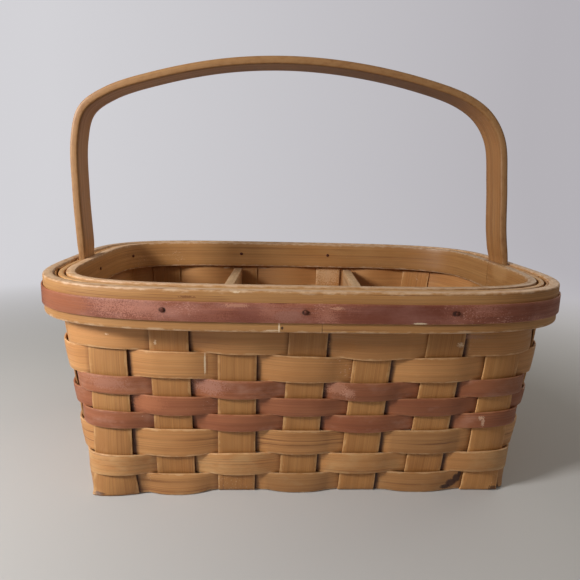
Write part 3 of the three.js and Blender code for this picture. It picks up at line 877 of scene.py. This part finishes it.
weaverSpec = {
    "edges": [z * mm for z in (0.9, 14.2, 28.9, 45.9, 57.4, 68.4, 80.4, 97.8, 117)],
    "frontEdges": {  # edge: its height where it passes each front stake, from left to right
        1: (15.9, 14.3, 13.1, 14.3, 14.3, 14.9, 15.5),
        2: (29.6, 26.7, 29.4, 28.2, 29.3, 28.5, 30.2),
        3: (47.3, 46.4, 44.9, 45.7, 44.2, 46.0, 47.5),
        4: (58.4, 56.0, 56.9, 55.7, 56.6, 56.1, 58.4),
        5: (69.8, 69.1, 67.6, 68.4, 66.5, 68.8, 69.2),
        6: (81.7, 81.5, 80.0, 79.1, 79.1, 79.7, 81.4),
        7: (99.4, 99.0, 97.6, 96.9, 94.5, 96.7, 97.0),
    },
    "gap": 0.04 * mm,
    "thickness": 1.2 * mm,
    "ease": 0.32 * mm,
    "swing": 2.2 * mm,
    "swingSpread": 0.12,
    "firmness": 0.25,  # 0 swings like a wave, more stays flat over each stake
    "smile": 0.9 * mm,  # how far an edge sags elsewhere, below the weaver that is outside there
    "tuck": 0.7 * mm,  # how far both edges reach past their row behind a stake
    "tuckFrom": (0.02, 0.5),
    "footBulge": {-2: 2.6 * mm, 0: 0.5 * mm},  # how far the lowest row's edge swells over a front stake
    "cup": 0.3 * mm,
    "warp": 0.2 * mm,
    "warpScale": (2.1, 90, 3.7),
    "cornerFill": {  # row: how far it stays out as it turns the front left and the front right corner
        1: (0.9, 0.6),
        2: (0.75, 0.9),
        3: (0, 0),
        4: (1, 1),
        5: (0.6, 0),
        6: (0.8, 0.8),
        7: (0.9, 0.7),
        8: (0.6, 0.9),
    },
    "stepsPerCrossing": 16,
    "cornerSteps": 34,
    "cornerSpan": 45 * mm,
    "endRoom": 0.012,
    "seamShift": (-1, 8, 1, 2),  # crossings from the back's middle to the seam, in turn by row
    "bottomTilt": 0.7 * mm,
    "lowest": 0.3 * mm,
    "rimRoom": 8.6 * mm,
    "rimFrom": 0.5 * mm,  # below the outer rim
    "length": 900 * mm,
}
rowCount = len(weaverSpec["edges"]) - 1
roseRows = (3, 4, 5)
stakes = listStakes()
middleStake = "crossStake4"
cornerCrossing = 3  # counted from the front's middle


def rowEdges(row):
    low, high = weaverSpec["edges"][rowCount - row], weaverSpec["edges"][rowCount - row + 1]
    return low + weaverSpec["gap"] / 2, high - weaverSpec["gap"] / 2


def swingOf(row, phase):  # 1 outside a stake, -1 inside it
    wave = math.cos(math.pi * phase)
    wave *= 1 + weaverSpec["firmness"] * (1 - wave * wave)
    return -wave if row % 2 == 1 else wave


@functools.lru_cache(maxsize=None)
def crossings(height):  # turns, half widths as turns and in metres, and which one is at the front's middle
    found = []
    for stake in stakes:
        for side in (-1, 1):
            ends = [stakeTurn(stake, side, part * stake["width"] / 2, height) for part in (-1, 0, 1)]
            spread = abs((ends[2] - ends[0] + math.pi) % fullTurn - math.pi) / 2
            atFront = stake["name"] == middleStake and side < 0
            found.append((ends[1] % fullTurn, spread, stake["width"] / 2, atFront))
    turns, spreads, halves, middles = zip(*sorted(found))
    return turns, spreads, halves, middles.index(True)


def turnAtPhase(turns, phase):
    count = len(turns)
    whole = math.floor(phase)

    def turnOf(index):
        return turns[index % count] + (index // count) * fullTurn

    return lerp(turnOf(whole), turnOf(whole + 1), phase - whole)


def stakeGive(stake, side, height):  # the push of the weavers on a stake, outwards positive
    rows = range(rowCount, 0, -1)
    edges = weaverSpec["edges"]
    middles = [sum(rowEdges(row)) / 2 for row in rows]
    turns, _, _, front = crossings(middles[0])
    own = stakeTurn(stake, side, 0, middles[0]) % fullTurn
    phase = min(range(len(turns)), key=lambda index: abs(turns[index] - own)) - front
    pushes = [0] + [-swingOf(row, phase) for row in rows] + [0]
    heights = [edges[0]] + middles + [edges[-1]]
    for low, high, first, second in zip(heights, heights[1:], pushes, pushes[1:]):
        if low < height <= high:
            return lerp(first, second, smoothStep(height, low, high))
    return 0


def stakeStations(stake):
    spec = stakeSpec
    count = math.ceil((spec["top"] - spec["wallStart"]) / spec["wallStep"] - 0.5)
    heights = [spec["wallStart"] + spec["wallStep"] * index for index in range(count)] + [spec["top"]]
    bends = [(index + 1) / spec["bendSteps"] * math.pi / 2 for index in range(spec["bendSteps"])]
    across = longStakes if stake["axis"] == "x" else crossStakes
    halfFlat = across["width"] / 2 + spec["crossingRoom"]
    floor = []
    for index, middle in enumerate(across["bases"]):
        over = (index + stake["number"]) % 2 == (0 if stake["axis"] == "x" else 1)
        level = spec["floorUpper"] if over else spec["floorLower"]
        for part in spec["crossingParts"]:
            floor.append(("floor", middle + part * halfFlat, level))
    down = [("wall", -1, height) for height in reversed(heights)] + [("bend", -1, angle) for angle in bends]
    up = [("bend", 1, angle) for angle in reversed(bends)] + [("wall", 1, height) for height in heights]
    return down + floor + up


def placeStake(stake, station, across, out):
    spec = stakeSpec
    part, where, level = station
    if stake["name"] == "crossStake1":
        rise = level if part == "wall" else 0
        across *= lerp(crossStakes["footSpread"], 1, smoothStep(rise, *crossStakes["footFrom"]))
    if part == "wall":
        turn = stakeTurn(stake, where, across, level)
        give = stakeGive(stake, where, level) * spec["give"]
        wide, high, base = spec["warpScale"]
        ripple = noise.noise(Vector((across * wide, level * high, stake["base"] * base + where)))
        flare = basket["flareStart"]
        ripple *= spec["warp"] * (1 - smoothStep(level, flare - spec["warpFade"], flare))
        return onWall(turn, level, out + give + ripple)
    side = where if part == "bend" else 1
    edge = plainWall(stakeTurn(stake, side, across, 0), 0, 0)
    line, reach = (edge.x, abs(edge.y)) if stake["axis"] == "x" else (edge.y, abs(edge.x))
    if part == "floor":
        run, height = where, level - out
    else:
        radius = spec["bendRadius"] + out
        run = side * (reach - spec["bendRadius"] + radius * math.cos(level))
        height = spec["floorLower"] + spec["bendRadius"] - radius * math.sin(level)
    return pushed(Vector((line, run, height) if stake["axis"] == "x" else (run, line, height)))


def makeStake(stake, seed):
    stations = stakeStations(stake)
    spec = dict(stakeSpec, width=stake["width"], steps=len(stations) - 1)

    def place(step, across, out):
        index = min(int(step), len(stations) - 2)
        first = placeStake(stake, stations[index], across, out)
        if step == index:
            return first
        return first.lerp(placeStake(stake, stations[index + 1], across, out), step - index)

    draw = random.Random(seeds["stakeLooks"] + seed)
    # the stake's tone holds painted light and shade, with a small random spread
    tone = stake["tone"] * draw.uniform(*stakeSpec["toneSpread"])
    looks = {"tone": tone, "lines": draw.uniform(*stakeSpec["lineSpread"])}
    makeStrip(stake["name"], spec, place, seed, "stakeSplint", lambda *where: looks)


for number, stake in enumerate(stakes):
    makeStake(stake, seeds["stakes"] + number)
print("stakes bent:", len(stakes))


def underRim(place, turn):  # keeps the top row inside the rim
    limit = insideRim(turn, place.z, weaverSpec["rimRoom"])
    share = math.hypot(limit.x, limit.y) / math.hypot(place.x, place.y)
    return Vector((place.x * share, place.y * share, place.z)) if share < 1 else place


def seamDistance(height, turns, phase, crossing):  # mm from the edge of the stake at a crossing
    spreads, halves = crossings(height)[1:3]
    spread, half = spreads[crossing % len(turns)], halves[crossing % len(turns)]
    away = abs(turnAtPhase(turns, phase) - turnAtPhase(turns, crossing))
    return (away - spread) * half / spread / mm


rowLooks = {  # spans: brightness over single front stakes, from -3 at the left to 3 at the right
    1: {"lines": 0.15, "tone": 0.96, "spans": {-3: 1.02, 1: 0.95}},
    2: {"lines": 0.2, "tone": 1.0, "spans": {0: 0.94, 2: 0.95}},
    3: {"lines": 0.3, "stain": 0.3, "spans": {1: 0.86, 3: 0.95}},
    4: {"lines": 0.35, "stain": 0.2, "tone": 0.97, "spans": {-2: 1.1, 2: 0.92}},
    5: {"lines": 0.45, "stain": 0.25, "tone": 0.98, "spans": {-1: 1.05, 3: 1.05}},
    6: {"lines": 0.85, "stain": 0.12, "tone": 0.97, "spans": {-2: 1.05, 0: 0.9, 2: 0.8}},
    7: {"lines": 0.55, "stain": 0.38, "tone": 1.0, "spans": {1: 0.94, 3: 0.92}},
    8: {"lines": 0.75, "stain": 0.15, "tone": 0.83, "spans": {-2: 1.06, 0: 0.84, 2: 0.94}},
}


def edgeAt(index, phase):  # the height of a row's edge, which both rows beside it share
    spec = weaverSpec
    heights = spec["frontEdges"].get(index)

    def heightAt(crossing):
        if heights and abs(crossing) <= cornerCrossing:
            return heights[crossing + cornerCrossing] * mm
        upperOutside = swingOf(rowCount - index, crossing) > 0
        return spec["edges"][index] - (spec["smile"] if upperOutside and 0 < index < rowCount else 0)

    whole = math.floor(phase)
    return lerp(heightAt(whole), heightAt(whole + 1), smoothStep(phase - whole, 0, 1))


def makeWeaver(row):
    spec = weaverSpec
    bottom, top = rowEdges(row)
    middle = (bottom + top) / 2
    turns, _, _, front = crossings(middle)
    back = front - len(turns) // 2 + spec["seamShift"][row % 4]
    seam = back if swingOf(row, back - front) < 0 else back + 1
    phases, corners = [], []
    for index in range(len(turns)):
        here = onWall(turnAtPhase(turns, seam + index), middle, 0)
        there = onWall(turnAtPhase(turns, seam + index + 1), middle, 0)
        atCorner = (there - here).length > spec["cornerSpan"]
        steps = spec["cornerSteps" if atCorner else "stepsPerCrossing"]
        phases += [seam + index + part / steps for part in range(steps)]
        corners.append(atCorner)
    phases.append(seam + len(turns))
    phases[0] += spec["endRoom"]
    phases[-1] -= spec["endRoom"]
    draw = random.Random(seeds["swings"] + row)
    swings = [1 + draw.uniform(-1, 1) * spec["swingSpread"] for _ in range(len(turns) + 2)]
    width = top - bottom

    def phaseAt(step):
        index = min(int(step), len(phases) - 2)
        return lerp(phases[index], phases[index + 1], step - index)

    def fromFront(phase):
        return (phase - front + len(turns) / 2) % len(turns) - len(turns) / 2

    def place(step, across, out):
        phase = phaseAt(step)
        swing = swingOf(row, phase - front)
        between = min(int(phase - seam), len(corners) - 1)
        over, under = max(0, swing), max(0, -swing)
        turn = turnAtPhase(turns, phase)
        if corners[between]:
            left, right = spec["cornerFill"][row]
            fill = left if math.cos(turn) < 0 else right
            swing = lerp(swing, 1, fill * math.sin(math.pi * (phase - seam - between)) ** 2)
        span = int(round(phase - seam)) % len(swings)
        side = across * 2 / width
        around = fromFront(phase)
        tuck = spec["tuck"] * smoothStep(under, *spec["tuckFrom"])
        low = edgeAt(rowCount - row, around) + spec["gap"] / 2 - tuck
        high = edgeAt(rowCount - row + 1, around) - spec["gap"] / 2 + (tuck if row > 1 else 0)
        bulge = spec["swing"] * swings[span] * swing + spec["cup"] * (1 - side * side) * over
        if row == rowCount:
            low -= spec["bottomTilt"] * swing
            bulge += spec["footBulge"].get(round(around), 0) * over * (1 - side) / 2
        height = max(lerp(low, high, (side + 1) / 2), spec["lowest"])
        wave = Vector((phase, across, row)) * Vector(spec["warpScale"])
        ripple = noise.noise(wave) * spec["warp"]
        level = clamp(height, bottom, min(top, basket["flareStart"]))
        made = onWall(turn, height, bulge + ripple + out, level)
        return underRim(made, turn) if height > hoops["outerRim"]["bottom"] - spec["rimFrom"] else made

    def looksAt(step, across, out):
        phase = phaseAt(step)
        values = dict(rowLooks[row])
        values["tone"] = values.get("tone", 1.0) * values["spans"].get(round(fromFront(phase)), 1.0)
        if out > 0:
            crossing = 2 * round((phase - front - overFirst) / 2) + front + overFirst
            values["right"] = seamDistance(middle, turns, phase, crossing - 1)
            values["left"] = seamDistance(middle, turns, phase, crossing + 1)
        return values

    overFirst = 1 if row % 2 == 1 else 0
    strip = dict(spec, width=width, steps=len(phases) - 1)
    material = "roseSplint" if row in roseRows else "tanSplint"
    makeStrip(f"weaverRow{row}", strip, place, row, material, looksAt)


for row in range(1, rowCount + 1):
    makeWeaver(row)
print("weavers woven:", rowCount, "rows")

# Rim hoops and fillers


def makeHoop(name, hoop, seed):
    depth = hoop["inset"] + hoop["thickness"] / 2
    middle = (hoop["bottom"] + hoop["top"]) / 2
    spec = dict(hoop, width=hoop["top"] - hoop["bottom"], steps=rimSteps, length=hoopLength)

    def place(step, across, out):
        turn = cornerTurn((hoop["seam"] + step) / rimSteps * fullTurn)
        parted = 1 - smoothStep(middle + across, *hoop["lap"]) if "lap" in hoop else 1
        turn += endTurn * parted * (1 - 2 * step / rimSteps)
        return insideRim(turn, middle + across, depth - out)

    # painted light and shade: brightness runs from the left end of the basket to the right
    def looksAt(step, across, out):
        share = clamp(place(step, across, out).x / (2 * rimOutline[0]) + 0.5, 0, 1)
        return dict(hoop["looks"], tone=lerp(*hoop["tones"], share))

    makeStrip(name, spec, place, seed, hoop["material"], looksAt, hoop.get("node"))


for seed, (name, hoop) in enumerate(hoops.items(), start=seeds["hoops"]):
    makeHoop(name, hoop, seed)

fillerSpec = {
    "depth": 12.6 * mm,
    "thickness": 3.4 * mm,
    "bottom": 124 * mm,
    "top": 139.8 * mm,
    "footRoom": 15.5 * mm,
    "ease": 0.5 * mm,
    "lanes": 3,
    "steps": 100,
    "length": 440 * mm,
}
handleSpec = {
    "points": [  # the strip's middle line: x, z in mm
        (-168.6, 121.8), (-168.6, 145), (-170.4, 190), (-169.6, 229.8),  # left leg
        (-163.4, 250.8), (-145.8, 263.7), (-110, 276), (-60, 286.6), (-10, 290.2),  # shoulder, crown
        (40, 287.3), (90, 278.6), (125.8, 267.8), (143.7, 256), (155.2, 238),  # shoulder
        (160.3, 205), (163.6, 168), (166.1, 152), (168.2, 141.5), (168.7, 121.8),  # right leg
    ],
    "toneFrom": (0.15, 0.75),  # shares of the way from the left foot to the right
    "cornerShare": 1.01,  # of the eased edge, which still counts as front edge
    "stouter": (1.167, 1.056),  # times thicker and wider above the rim than at the feet
    "stouterFrom": (141 * mm, 152 * mm),
    "middleY": 4 * mm,
    "skew": 0.03,
    "width": 27 * mm,
    "thickness": 4.8 * mm,
    "ease": 1.3 * mm,
    "easeSteps": 3,
    "lanes": 8,
    "steps": 160,
    "grainLines": 0.5,
    "tones": {  # painted light and shade on each face: left leg, right leg
        "outside": (0.85, 0.75),
        "inside": (1.35, 1.02),
        "frontEdge": (0.85, 0.8),
    },
}


def footY(side):
    return handleSpec["middleY"] + side * handleSpec["skew"] * rimOutline[0]


def makeFiller(side, name, seed):
    spec = dict(fillerSpec, width=fillerSpec["top"] - fillerSpec["bottom"])
    room = side * spec["footRoom"]
    leftTurn = rimTurn("y", footY(-1) + room, -1, spec["depth"])
    rightTurn = rimTurn("y", footY(1) + room, 1, spec["depth"])
    fromStep = cornerStep(leftTurn if side < 0 else rightTurn)
    toStep = cornerStep(rightTurn + fullTurn if side < 0 else leftTurn)
    middle = (spec["bottom"] + spec["top"]) / 2

    def place(step, across, out):
        turn = cornerTurn(lerp(fromStep, toStep, step / spec["steps"]))
        return insideRim(turn, middle + across, spec["depth"] - out)

    makeStrip(name, spec, place, seed, "stakeSplint", node="rim_" + snake(name))


makeFiller(-1, "fillerFront", seeds["fillers"])
makeFiller(1, "fillerBack", seeds["fillers"] + 1)
print("rim hoops and fillers bent")

# Handle


def smoothPath(points, steps):  # centripetal spline, in even steps along its length
    ends = [points[0] * 2 - points[1]] + points + [points[-1] * 2 - points[-2]]
    dense, parts = [], 40
    for span in zip(ends, ends[1:], ends[2:], ends[3:]):
        knots = [0]
        for first, second in zip(span, span[1:]):
            knots.append(knots[-1] + (second - first).length ** 0.5)
        for part in range(parts):
            t = lerp(knots[1], knots[2], part / parts)
            nearer = span
            for reach in (1, 2):
                shares = [(t - low) / (high - low) for low, high in zip(knots, knots[reach:])]
                nearer = [a.lerp(b, share) for a, b, share in zip(nearer, nearer[1:], shares)]
            dense.append(nearer[0].lerp(nearer[1], part / parts))
    dense.append(points[-1])
    reached = lengthsAlong(dense)
    even, index = [], 0
    for step in range(steps + 1):
        target = reached[-1] * step / steps
        while index < len(dense) - 2 and reached[index + 1] < target:
            index += 1
        share = (target - reached[index]) / (reached[index + 1] - reached[index])
        even.append(dense[index].lerp(dense[index + 1], share))
    return even, reached[-1]


def makeHandle():
    spec = handleSpec
    points = [Vector((x * mm, spec["middleY"] + spec["skew"] * x * mm, z * mm)) for x, z in spec["points"]]
    path, length = smoothPath(points, spec["steps"])
    sideways = Vector((-spec["skew"], 1, 0)).normalized()
    outwards = []
    for index in range(len(path)):
        tangent = path[min(index + 1, len(path) - 1)] - path[max(index - 1, 0)]
        outwards.append(tangent.cross(sideways).normalized())

    def place(step, across, out):
        index = min(int(step), len(path) - 2)
        middle = path[index].lerp(path[index + 1], step - index)
        outward = outwards[index].lerp(outwards[index + 1], step - index).normalized()
        risen = smoothStep(middle.z, *spec["stouterFrom"])
        thicker, wider = (lerp(1, share, risen) for share in spec["stouter"])
        return middle + sideways * across * wider + outward * out * thicker

    def looksAt(step, across, out):
        face = "outside" if out > 0 else "inside"
        if across < spec["ease"] * spec["cornerShare"] - spec["width"] / 2:
            face = "frontEdge"
        # painted light and shade, from the left leg to the right
        share = smoothStep(step / spec["steps"], *spec["toneFrom"])
        return {"lines": spec["grainLines"], "tone": lerp(*spec["tones"][face], share)}

    makeStrip("handle", dict(spec, length=length), place, seeds["handle"], "handleWood", looksAt)


makeHandle()
print("handle bent")

# Dividers

dividerSpec = {
    "thickness": 8 * mm,
    "middles": {"dividerLeft": -59.3 * mm, "dividerRight": 51 * mm},
    "skew": 0.05,  # x gained per y
    "bottom": 2.9 * mm,
    "top": 115 * mm,
    "clearance": 4 * mm,
    "ease": 0.6 * mm,
    "wornDepth": 4 * mm,  # from the top edge down
}


def makeDivider(name, seed):
    spec = dividerSpec
    bm = bmesh.new()
    bmesh.ops.create_cube(bm, size=1)
    bmesh.ops.subdivide_edges(bm, edges=bm.edges[:], cuts=1, use_grid_fill=True)
    for vert in bm.verts:
        level = lerp(spec["bottom"], spec["top"], vert.co.z + 0.5)
        half = wallOutline(level)[1] - spec["clearance"]
        vert.co = Vector((vert.co.x * spec["thickness"], vert.co.y * 2 * half, level))
    easeEdges(bm, squareEdges(bm), spec["ease"], usualEaseSteps)

    def read(vert):
        # the top edge takes the worn edge colour, partly a painted highlight
        worn = smoothStep(vert.co.z, spec["top"] - spec["wornDepth"], spec["top"])
        return Vector((vert.co.y, vert.co.z, vert.co.x)), worn, {}

    writeLooks(bm, seed, read)
    for vert in bm.verts:
        vert.co.x += spec["middles"][name] + spec["skew"] * vert.co.y
    finishPiece(name, bm, "dividerBoard")


for seed, name in enumerate(dividerSpec["middles"], start=seeds["dividers"]):
    makeDivider(name, seed)
print("dividers made")

# Brads

bradSpec = {
    "headRadius": 1.4 * mm,
    "headHeight": 0.6 * mm,
    "dome": ((0.9, 0), (1, 1 / 3), (0.86, 0.62), (0.55, 0.92), (0.2, 1), (0, 1)),  # of radius, height
    "shankRadius": 0.7 * mm,
    "shank": 4 * mm,
    "point": 0.8 * mm,
    "neck": 0.05 * mm,
    "gap": 0.2 * mm,
    "outerHeight": 128.4 * mm,
    "innerHeight": 129.9 * mm,
    "rimDepth": 21.3 * mm,
    "sides": 20,
    "merge": 0.01 * mm,
    "smoothAngle": 50,
}
brads = {  # axis, value, side, driven from outside
    "rimBradFront1": ("x", -87 * mm, -1, True),
    "rimBradFront2": ("x", -4 * mm, -1, True),
    "rimBradFront3": ("x", 86 * mm, -1, True),
    "rimBradBack1": ("x", -86 * mm, 1, True),
    "rimBradBack2": ("x", 0, 1, True),
    "rimBradBack3": ("x", 86 * mm, 1, True),
    "innerBradBack1": ("x", -51 * mm, 1, False),
    "innerBradBack2": ("x", 36 * mm, 1, False),
    "handleBradLeft": ("y", footY(-1) + 5 * mm, -1, False),
    "handleBradRight": ("y", footY(1), 1, True),
    "innerBradCorner": ("y", 78 * mm, -1, False),
}


def makeBrad(name, axis, value, side, fromOutside):
    spec = bradSpec
    radius, height, shank = spec["headRadius"], spec["headHeight"], spec["shankRadius"]
    profile = [(0, -spec["shank"]), (shank, spec["point"] - spec["shank"]), (shank, spec["neck"])]
    profile += [(radius * wide, height * high) for wide, high in spec["dome"]]
    bm = bmesh.new()
    verts = [bm.verts.new((x, 0, z + spec["gap"])) for x, z in profile]
    edges = [bm.edges.new(pair) for pair in zip(verts, verts[1:])]
    turning = {"cent": (0, 0, 0), "axis": (0, 0, 1), "angle": fullTurn, "steps": spec["sides"]}
    bmesh.ops.spin(bm, geom=verts + edges, use_merge=True, **turning)
    bmesh.ops.remove_doubles(bm, verts=bm.verts, dist=spec["merge"])
    bmesh.ops.recalc_face_normals(bm, faces=bm.faces)
    inset = 0 if fromOutside else spec["rimDepth"]
    turn = rimTurn(axis, value, side, inset)
    _, _, normalX, normalY = rimPoint(turn)
    outward = Vector((normalX, normalY, 0)) * (1 if fromOutside else -1)
    tilt = Vector((0, 0, 1)).rotation_difference(outward).to_matrix().to_4x4()
    foot = insideRim(turn, spec["outerHeight" if fromOutside else "innerHeight"], inset)
    bmesh.ops.transform(bm, matrix=Matrix.Translation(foot) @ tilt, verts=bm.verts)
    finishPiece(name, bm, "bradSteel", smoothAngle=spec["smoothAngle"])


for name, placing in brads.items():
    makeBrad(name, *placing)
print("brads driven:", len(brads))

# Stage

stageSpec = {
    "floor": (193, 191, 188),
    "farFloor": (190, 187, 183),
    # the far backdrop glows for the camera, with painted shade darker to the right
    "wallLeft": (211, 210, 214),
    "wallRight": (180, 177, 182),
    "shadeFrom": (-0.6, 0.7),
    "fadeOut": (0.26, 0.75),  # where the lit floor gives way to an even tone, from the basket's middle
    "horizon": (0.05, 0.6),
    "width": 6.0,
    "front": -3.0,
    "back": 1.1,
    "height": 3.0,
    "curve": 0.35,
    "curveSteps": 16,
    "facingDown": -0.01,
    "upright": 0.3,
    "rough": 0.8,
    "shine": 0.1,
}


def makeStage():
    spec = stageSpec
    bm = bmesh.new()
    half = spec["width"] / 2
    profile = [(spec["front"], 0), (spec["back"], 0), (spec["back"], spec["height"])]
    verts = [bm.verts.new((-half, y, z)) for y, z in profile]
    edges = [bm.edges.new(pair) for pair in zip(verts, verts[1:])]
    swept = bmesh.ops.extrude_edge_only(bm, edges=edges)
    moved = [item for item in swept["geom"] if isinstance(item, bmesh.types.BMVert)]
    bmesh.ops.translate(bm, vec=(spec["width"], 0, 0), verts=moved)
    corner = [edge for edge in bm.edges if len(edge.link_faces) == 2]
    easeEdges(bm, corner, spec["curve"], spec["curveSteps"])
    for face in bm.faces:  # up, and towards the front
        wallTurned = abs(face.normal.z) < spec["upright"] and face.normal.y > 0
        if wallTurned or face.normal.z < spec["facingDown"]:
            face.normal_flip()
    material, tree, shader, place = newMaterial("backdropPaper")
    split = tree.nodes.new("ShaderNodeSeparateXYZ")
    feed(tree, place, split.inputs[0])
    away = maths(tree, "LENGTH", place, kind="VectorMath")
    far = remap(tree, away, *spec["fadeOut"])
    seen = times(tree, far, tree.nodes.new("ShaderNodeLightPath").outputs["Is Camera Ray"])
    feed(tree, blendColours(tree, seen, tint(*spec["floor"]), (0, 0, 0, 1)), shader["Base Color"])
    # painted light and shade: the backdrop glows for the camera, paler at the left and darker to the right
    aside = remap(tree, split.outputs[0], *spec["shadeFrom"])
    wall = blendColours(tree, aside, tint(*spec["wallLeft"]), tint(*spec["wallRight"]))
    behind = remap(tree, split.outputs[1], *spec["horizon"])
    feed(tree, blendColours(tree, behind, tint(*spec["farFloor"]), wall), shader["Emission Color"])
    feed(tree, seen, shader["Emission Strength"])
    feed(tree, spec["rough"], shader["Roughness"])
    feed(tree, spec["shine"], shader["Specular IOR Level"])
    backdrop = makeObject("backdrop", bm, material)


lamps = {
    "keyLamp": {"place": (-0.58, -0.37, 0.43), "aim": (0, 0, 0.1), "size": 0.16, "watts": 5.4},
    "fillLamp": {"place": (-0.7, -1.3, 0.9), "aim": (0, 0, 0.12), "size": 1.2, "watts": 0.4},
    "wallGlow": {
        "place": (0.7, 0.5, 0.75),
        "aim": (-0.05, 0, 0.14),
        "size": 0.7,
        "watts": 2.4,
        "colour": (1, 0.93, 0.82),
    },
}
worldLight = {"colour": (1.0, 0.97, 0.93, 1), "strength": 0.21, "seen": (196, 194, 198)}


def makeLights():
    for name, spec in lamps.items():
        data = bpy.data.lights.new(name, "AREA")
        data.shape = "SQUARE"
        data.size = spec["size"]
        data.energy = spec["watts"]
        data.color = spec.get("colour", (1, 1, 1))
        lamp = putIn(bpy.data.objects.new(name, data))
        lamp.location = spec["place"]
        aim = Vector(spec["aim"]) - Vector(spec["place"])
        lamp.rotation_euler = aim.to_track_quat("-Z", "Y").to_euler()
    world = bpy.data.worlds.new("studio")
    world.use_nodes = True
    tree = world.node_tree
    back = tree.nodes["Background"]
    seen = tree.nodes.new("ShaderNodeLightPath").outputs["Is Camera Ray"]
    colour = blendColours(tree, seen, worldLight["colour"], tint(*worldLight["seen"]))
    feed(tree, colour, back.inputs["Color"])
    feed(tree, remap(tree, seen, 0.0, 1.0, worldLight["strength"], 1.0), back.inputs["Strength"])
    bpy.context.scene.world = world


makeStage()
makeLights()
bpy.context.scene.view_settings.view_transform = "Standard"
print("stage and lights set")

bpy.context.view_layer.update()
